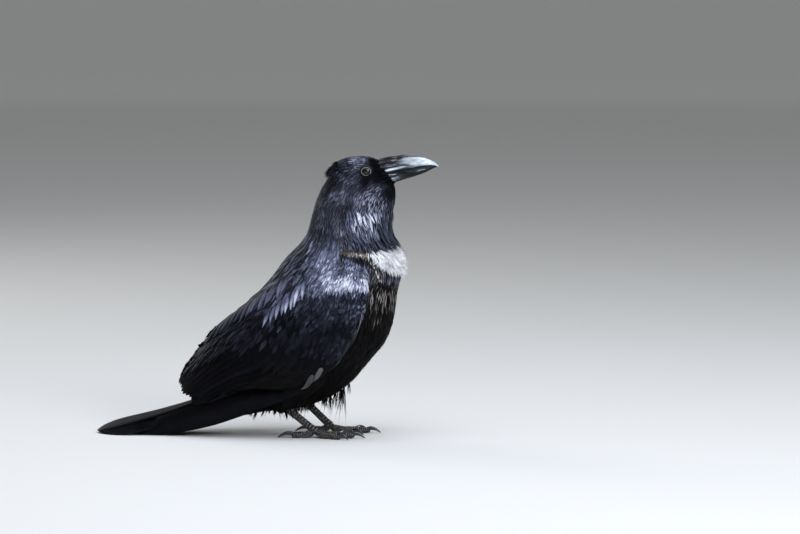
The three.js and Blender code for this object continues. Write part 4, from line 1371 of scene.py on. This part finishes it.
ball_finish, lid_finish = eyeball(), eyelid()
for side, side_name in SIDE_NAMES.items():
    arc = np.linspace(0, np.pi, BALL_STEPS)
    section = np.stack([EYE["radius"] * np.sin(arc), EYE["radius"] * np.cos(arc)], -1)
    rings = turned_on_axis(section, BALL_STEPS, BALL_SIDES, side)
    ball = close_up(put_mesh(f"eyeball_{side_name}", rings, grid_faces(BALL_STEPS, BALL_SIDES, ring=True)))
    ball.data.materials.append(ball_finish)
    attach(ball, "root")
    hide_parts(f"eye_{side_name}")
    rings = turned_on_axis(LID, LID_STEPS, LID_SIDES, side, LID_FLAT)
    under = rings[::-1] - np.array([0, side * LID_THICK * MM, 0])
    lid = put_mesh(f"eyelid_{side_name}", np.concatenate([rings, under, rings[:1]]),
                   grid_faces(2 * LID_STEPS + 1, LID_SIDES, ring=True))
    close_up(lid).data.materials.append(lid_finish)
    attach(lid, "root")

# ================================================================ bill
# Two horn sheaths over bone, closed: the upper one arched and overhanging, with a sharp cutting edge,
# the lower one straight beneath. Blue-black horn lined with grain, the lower one worn paler in places;
# the pale side and tip of the upper one are a painted highlight.
HORN_TONES = [(0, "#050607"), (0.35, "#32383f"), (1, "#c6cfd6")]  # of wear 0 to 1, and on the upper bill of painted highlight
LEAST_WEAR = 0.07
UPPER_HIGHLIGHTS = [  # on the map of the bill: share along, share round (0.5 is the ridge), half axes, paleness (painted highlight)
    (0.68, 0.21, 0.5, 0.34, 0.9),  # painted highlight: the side towards the tip, pale up to the ridge
    (0.95, 0.18, 0.24, 0.24, 0.85),  # painted highlight: the tip, paler still
    (0.24, 0.055, 0.28, 0.04, 0.9),  # painted highlight: a bright line above the cutting edge
]
LOWER_WEAR = [
    (0.16, 0.26, 0.26, 0.2, 0.5),  # the base of the side
    (0.14, 0.06, 0.24, 0.05, 0.85),  # a bright line below the cutting edge
    (0.12, 0.17, 0.16, 0.04, 0.6),  # a second line under it
    (0.55, 0.14, 0.4, 0.12, 0.3),  # the side towards the tip
]
BILL_STEPS, HALF_ARC, BACK_STEPS = 90, 41, 19  # rings; points of the outer arc and of the inner wall


def bill_horn(name, gloss, grain, zones):
    """Horn: half glossy keratin, blue-black where it grows and paler where it is worn or where a highlight is
    painted in, with long fine scratches along it, drawn 1.6 mm apart so that they show. gloss is the shine
    under the coat, grain the depth of the scratches and zones the worn places and the painted highlights."""
    finish, tree, shader = new_finish(name, Roughness=0.34, Specular_IOR_Level=gloss, Coat_Weight=0.1,
                                      Coat_Roughness=0.25)
    place = add_node(tree, "TexCoord").outputs["Object"]
    long = add_node(tree, "VectorRotate", {"Vector": place, "Angle": 0.12}, rotation_type="Y_AXIS")
    drawn = add_node(tree, "VectorMath", {0: long.outputs[0], 1: (0.12, 1, 1)}, operation="MULTIPLY")
    lines = add_node(tree, "TexNoise", {"Vector": drawn.outputs[0], "Scale": 620.0, "Detail": 4.0})
    blurred = add_node(tree, "VectorMath", {0: long.outputs[0], 1: (0.3, 1, 1)}, operation="MULTIPLY")
    patches = add_node(tree, "TexNoise", {"Vector": blurred.outputs[0], "Scale": 160.0, "Detail": 2.0})
    map_place = add_node(tree, "UVMap", uv_map="horn").outputs[0]
    wear = add_node(tree, "Value").outputs[0]
    wear.default_value = LEAST_WEAR
    # pale places: worn horn on the lower bill, painted highlights on the upper
    for along, around, half_long, half_round, worn in zones:
        for mirrored in (around, 1 - around):
            off = add_node(tree, "VectorMath", {0: map_place, 1: (-along, -mirrored, 0)}, operation="ADD")
            size = (1 / half_long, 1 / half_round, 0)
            scaled = add_node(tree, "VectorMath", {0: off.outputs[0], 1: size}, operation="MULTIPLY")
            far = add_node(tree, "VectorMath", {0: scaled.outputs[0]}, operation="LENGTH")
            fade = {"Value": far.outputs["Value"], "From Min": 0.25, "From Max": 1.1, "To Min": worn,
                    "To Max": 0.0}
            spot = add_node(tree, "MapRange", fade, interpolation_type="SMOOTHSTEP")
            wear = add_node(tree, "Math", {0: wear, 1: spot.outputs[0]}, operation="MAXIMUM").outputs[0]
    both = add_node(tree, "Math", {0: lines.outputs["Fac"], 1: patches.outputs["Fac"]}, operation="MULTIPLY")
    rough = add_node(tree, "MapRange", {"Value": both.outputs[0], "From Min": 0.12, "From Max": 0.38,
                                        "To Min": 1 - 0.9 * grain, "To Max": 1 + 0.9 * grain})
    tone = add_node(tree, "Math", {0: wear, 1: rough.outputs[0]}, operation="MULTIPLY")
    colours = add_node(tree, "ValToRGB", {"Fac": tone.outputs[0]}, HORN_TONES)
    tree.links.new(colours.outputs["Color"], shader.inputs["Base Color"])
    polish = add_node(tree, "MapRange", {"Value": lines.outputs["Fac"], "To Min": 0.28, "To Max": 0.56})
    tree.links.new(polish.outputs[0], shader.inputs["Roughness"])
    bump = add_node(tree, "Bump", {"Height": lines.outputs["Fac"], "Strength": grain, "Distance": 0.4 * MM})
    tree.links.new(bump.outputs["Normal"], shader.inputs["Normal"])
    return finish


upper_horn = bill_horn("upper_bill_horn", gloss=0.3, grain=0.35, zones=UPPER_HIGHLIGHTS)
lower_horn = bill_horn("lower_bill_horn", gloss=0.06, grain=1.1, zones=LOWER_WEAR)
t = np.linspace(0, 1, BILL_STEPS)[:, None]
arc = np.linspace(-np.pi / 2, np.pi / 2, HALF_ARC)[None]
for lower, name, finish in ((False, "upper", upper_horn), (True, "lower", lower_horn)):
    outer = bill(t + 0 * arc, arc + 0 * t, lower)
    row = curve(BILL, t[:, 0])[:, None]
    back = np.linspace(1, -1, BACK_STEPS + 2)[None, 1:-1]
    inner = outer[:, -1:] * (1 + back[..., None]) / 2 + outer[:, :1] * (1 - back[..., None]) / 2
    inner[..., 2] += (-1 if lower else 1) * row[..., 6] * 0.25 * (1 - back ** 2) * MM
    rings = capped(np.concatenate([outer, inner], 1))
    faces = grid_faces(*rings.shape[:2], ring=True)
    half = put_mesh(f"bill_{name}_horn", rings, faces)
    around = np.concatenate([np.linspace(0, 1, HALF_ARC), np.full(BACK_STEPS, 0.5)])[None] + 0 * rings[..., 0]
    along = np.clip(np.arange(-1, BILL_STEPS + 1) / (BILL_STEPS - 1), 0, 1)[:, None] + 0 * around
    put_map(half, "horn", np.stack([along, around], -1), faces)
    close_up(half).data.materials.append(finish)
    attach(half, "root")
    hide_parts(f"bill_{name}")

# ================================================================ bristles round the bill
# Stiff hair-like feathers: a mat that lies forward over the nostrils and the base of the bill, and
# shorter ones on the chin and at the corners of the mouth, brown-black in pale streaks. Behind them the
# face is velvet: short hair-thin black feathers that point forward, over the edge of the horn.
BRISTLES = [  # count; lower half of the bill; roots and tips reach to these shares of it; degrees; width
    (620, False, 0.2, 0.42, 64, 0.75),
    (260, True, 0.1, 0.24, 60, 0.8),
    (160, False, 0.06, 0.14, 88, 0.6),
    (120, True, 0.05, 0.13, 88, 0.6),
]
VELVET = 2600  # hairs sown, of which those off the face are left out
EYE_CLEAR = 12.5  # no velvet nearer than this to the eye's axis
FACE = [147, 316]  # it grows in front of this x or above this z
BRISTLE_BROWN = [(0, "#050505"), (0.5, "#343338"), (1, "#c4c2cf")]


def bristles(count, lower, first, longest, widest, width):
    """Bristles rooted on the bill's base from share 0 to first of its length, that lie forward over it;
    they reach longest share at the ridge and less towards the sides, out to widest degrees. Gives
    their points and their tones, a sine round the bill that draws streaks."""
    angle = np.radians(widest) * chance.uniform(-1, 1, count)
    root = chance.uniform(-0.02, first, count)
    fade = 1 - 0.55 * (np.abs(angle) / np.radians(widest)) ** 2
    reach = root + (longest - first) * fade * chance.uniform(0.7, 1.1, count)
    share = np.linspace(0, 1, 7)[None]
    t = np.clip(root[:, None] * (1 - share) + reach[:, None] * share, 0, 1)
    bend = angle[:, None] * (1 + 0.1 * share) + chance.normal(0, 0.05, (count, 1)) * share
    centre = bill(t, bend, lower)
    over = bill(t, bend, lower, 1.0)
    lift = rise(count, 7, 0.2, chance.uniform(0.4, 2.0, count))
    grid = vanes(centre, unit(over - centre), width * MM, lift, "hair", 3, 0.4, 0.1)
    tone = np.clip(chance.uniform(-0.1, 0.75, count) + 0.6 * np.sin(17 * angle + 6 * root), 0, 1)
    return grid, tone


bristle_brown = feather_finish("bristle_brown_black", BRISTLE_BROWN, roughness=0.5, specular=0.3,
                               tint="#d8d8dc", barb=1.0)
velvet_black = feather_finish("velvet_black", [(0, "#020202"), (1, "#1e1e23")], roughness=0.7, specular=0.02,
                              tint="#c8ccdc", barb=1.0)
parts = []
for row in BRISTLES:
    grid, tone = bristles(*row)
    home = np.stack([0.1 + 0.8 * chance.uniform(0, 1, len(tone)), -0.02 + 0 * tone], -1)
    parts.append((grid, tone, home))
put_coat("bill_bristles", parts, bristle_brown)
u, turn = 0.1 * chance.uniform(0, 1, VELVET) ** 1.3, chance.uniform(0, 2 * np.pi, VELVET)
root = body(u, turn)
on_side = np.abs(np.abs(turn - np.pi) - np.pi / 2) < np.radians(62)
kept = (from_eye(root) > EYE_CLEAR) & on_side | (u < 0.02)
kept &= (root[:, 0] > FACE[0] * MM) | (root[:, 2] > FACE[1] * MM)
u, turn, root = u[kept], turn[kept], root[kept]
count = len(u)
way = unit(-flow(body, u, turn) + [0.5, 0, -0.25])
length = np.where(np.cos(turn) < -0.7, 10, 3.5 + 3 * np.abs(np.cos(turn))) * chance.uniform(0.7, 1.2, count)
centre, normal = drape(root, way, length * MM, 6)
lift = rise(count, 6, -0.4, chance.uniform(0.1, 0.9, count))
grid = vanes(centre, normal, 0.95 * MM, lift, "hair", 3, 0.4, 0.1)
tone = chance.uniform(0, 1, count) ** 2
put_coat("face_velvet", [(grid, tone, skin_home(u, turn))], velvet_black)

# ================================================================ legs and claws
# Black scaled shanks and toes: broad overlapping scutes down the front, small pebbles behind, soft pads
# under the toes. The claws are curved black horn, each set in the end of its toe.
FEET = {-1: (61, -27, 9), 1: (74, 27, 9)}  # the foot of the shank by side, where the toes meet
SHANK = [  # share of the way from the ankle to the foot; radius across; radius fore and aft
    [0, 5.4, 5.4], [0.15, 4.2, 4.9], [0.5, 3.6, 4.5], [0.85, 3.9, 4.5], [1, 5.2, 5.0], [1.07, 2.5, 2.5],
]
TOES = {  # turn outwards in degrees; length of the toe; length of the claw; thickness
    "hallux": [172, 26, 19, 4.4],
    "inner": [-26, 33, 16, 4.0],
    "middle": [2, 47, 16, 4.2],
    "outer": [27, 36, 14, 3.9],
}
SCUTES = {"shank": (4.2, 0.5), "toe": (2.6, 0.35)}  # from scute to scute; how far each one stands out
SHANK_STEPS, SHANK_SIDES = 150, 32
TOE_STEPS, TOE_SIDES = 100, 28
CLAW_STEPS, CLAW_SIDES = 30, 16


def scaled_hide():
    """Bird scales: hard black keratin, half glossy, in pebbles 1.7 mm across behind and in broad scutes
    in front, their edges grey with dust in specks of 2 mm."""
    finish, tree, shader = new_finish("scaled_hide", Roughness=0.4, Specular_IOR_Level=0.25)
    place = add_node(tree, "TexCoord").outputs["Object"]
    cells = add_node(tree, "TexVoronoi", {"Vector": place, "Scale": 1 / (1.7 * MM)},
                     feature="DISTANCE_TO_EDGE")
    seam = add_node(tree, "MapRange", {"Value": cells.outputs["Distance"], "From Max": 0.07, "To Min": 1.0,
                                       "To Max": 0.0})
    limb = add_node(tree, "UVMap", uv_map="limb")
    turn, along, _ = add_node(tree, "SeparateXYZ", {0: limb.outputs[0]}).outputs
    step = add_node(tree, "Math", {0: along}, operation="FRACT")
    lip = add_node(tree, "MapRange", {"Value": step.outputs[0], "From Min": 0.72, "From Max": 0.98})
    dust = add_node(tree, "TexNoise", {"Vector": place, "Scale": 500.0, "Detail": 3.0})
    front = add_node(tree, "MapRange", {"Value": turn, "From Min": -0.1, "From Max": 0.3})
    plate = add_node(tree, "Mix", {0: front.outputs[0], 2: seam.outputs[0], 3: lip.outputs[0]})
    worn = add_node(tree, "MapRange", {"Value": dust.outputs["Fac"], "From Min": 0.38, "From Max": 0.62})
    some = add_node(tree, "Math", {0: plate.outputs[0], 1: 0.8, 2: 0.02}, operation="MULTIPLY_ADD")
    pale = add_node(tree, "Math", {0: some.outputs[0], 1: worn.outputs[0]}, operation="MULTIPLY")
    colour = add_node(tree, "Mix", {0: pale.outputs[0], 6: linear("#080808"), 7: linear("#bdbab5")},
                      data_type="RGBA")
    tree.links.new(colour.outputs[2], shader.inputs["Base Color"])
    bump = add_node(tree, "Bump", {"Height": seam.outputs[0], "Strength": 0.5, "Distance": 0.3 * MM},
                    invert=True)
    tree.links.new(bump.outputs["Normal"], shader.inputs["Normal"])
    return finish


def claw_horn():
    """Claw: smooth black horn, glossy, greyer where it wears in mottles of 3 mm."""
    finish, tree, shader = new_finish("claw_horn", Roughness=0.25, Coat_Weight=0.5, Coat_Roughness=0.15)
    place = add_node(tree, "TexCoord").outputs["Object"]
    wear = add_node(tree, "TexNoise", {"Vector": place, "Scale": 350.0, "Detail": 3.0})
    colour = add_node(tree, "Mix", {0: wear.outputs["Fac"], 6: linear("#080809"), 7: linear("#2a2a2c")},
                      data_type="RGBA")
    tree.links.new(colour.outputs[2], shader.inputs["Base Color"])
    return finish


def limb_rings(rows, count, sides, pitch, depth):
    """A scaled limb through rows: the rings, with each scute on its front stepping out by depth towards
    its lower end, and the map of its scales: facing (1 in front) and scutes along, pitch apart."""
    share = np.linspace(0, 1, count)
    centre = curve(rows, share)[:, 0:3]
    along = np.concatenate([[0], np.cumsum(np.linalg.norm(np.diff(centre, axis=0), axis=-1))])
    turn = np.linspace(0, 2 * np.pi, sides, endpoint=False)
    facing = np.sin(turn)[None] + 0 * along[:, None]
    scutes = along[:, None] / pitch + 0 * facing
    swell = depth * (scutes % 1) * np.clip(facing * 2, 0, 1)
    return tube(rows, share, sides, swell), np.stack([facing, scutes], -1)


hide, horn = scaled_hide(), claw_horn()
for side, side_name in SIDE_NAMES.items():
    ankle, foot = np.array(ANKLES[side], float), np.array(FEET[side], float)
    rows = [[*(ankle + (foot - ankle) * share), *radii] for share, *radii in SHANK]
    limbs = [limb_rings(rows, SHANK_STEPS, SHANK_SIDES, *SCUTES["shank"])]
    claws = []
    for turn_out, length, claw, thick in TOES.values():
        angle = np.radians(turn_out * side)
        way = np.array([np.cos(angle), np.sin(angle)])

        def toe_row(share, z, across, deep):
            """A row of a toe at a share of its length from the foot."""
            return [foot[0] + way[0] * length * share, foot[1] + way[1] * length * share, z, across, deep]

        toe = [
            toe_row(0.05, 7.5, thick - 0.6, thick - 0.8),
            toe_row(0.24, thick + 0.8, thick, thick),
            toe_row(0.43, thick - 0.8, thick, thick - 0.2),
            toe_row(0.62, thick - 0.2, thick - 0.6, thick - 0.6),
            toe_row(0.81, thick - 0.9, thick - 0.2, thick - 0.4),
            toe_row(1, thick - 0.6, thick - 0.7, thick - 0.8),
            toe_row(1.06, thick - 0.4, 1.6, 1.8),
        ]
        rings, scales = limb_rings(toe, TOE_STEPS, TOE_SIDES, *SCUTES["toe"])
        rings[..., 2] = np.maximum(rings[..., 2], 0)
        limbs.append((rings, scales))
        reach = [1 + claw * share / length for share in (-0.15, 0.2, 0.5, 0.8, 1)]
        nail = [
            toe_row(reach[0], thick, 1.9, 2.6),
            toe_row(reach[1], thick + 1.8, 1.8, 2.5),
            toe_row(reach[2], thick + 1.4, 1.4, 2),
            toe_row(reach[3], thick - 1, 0.9, 1.3),
            toe_row(reach[4], 0.7, 0.35, 0.45),
        ]
        claws.append(tube(nail, np.linspace(0, 1, CLAW_STEPS), CLAW_SIDES))
    points, faces = joined([rings for rings, _ in limbs])
    leg = put_mesh(f"leg_{side_name}", points, faces)
    scales = [np.concatenate([scale[:1], scale, scale[-1:]]).reshape(-1, 2) for _, scale in limbs]
    put_map(leg, "limb", np.concatenate(scales), faces)
    close_up(leg).data.materials.append(hide)
    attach(leg, "root")
    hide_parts(f"shank_{side_name}", *[f"toe_{toe}_{side_name}" for toe in TOES])
    nails = close_up(put_mesh(f"claws_{side_name}", *joined(claws)))
    nails.data.materials.append(horn)
    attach(nails, "root")
    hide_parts(*[f"claw_{toe}_{side_name}" for toe in TOES])

# ================================================================ finish
bpy.data.objects.remove(coat_form)
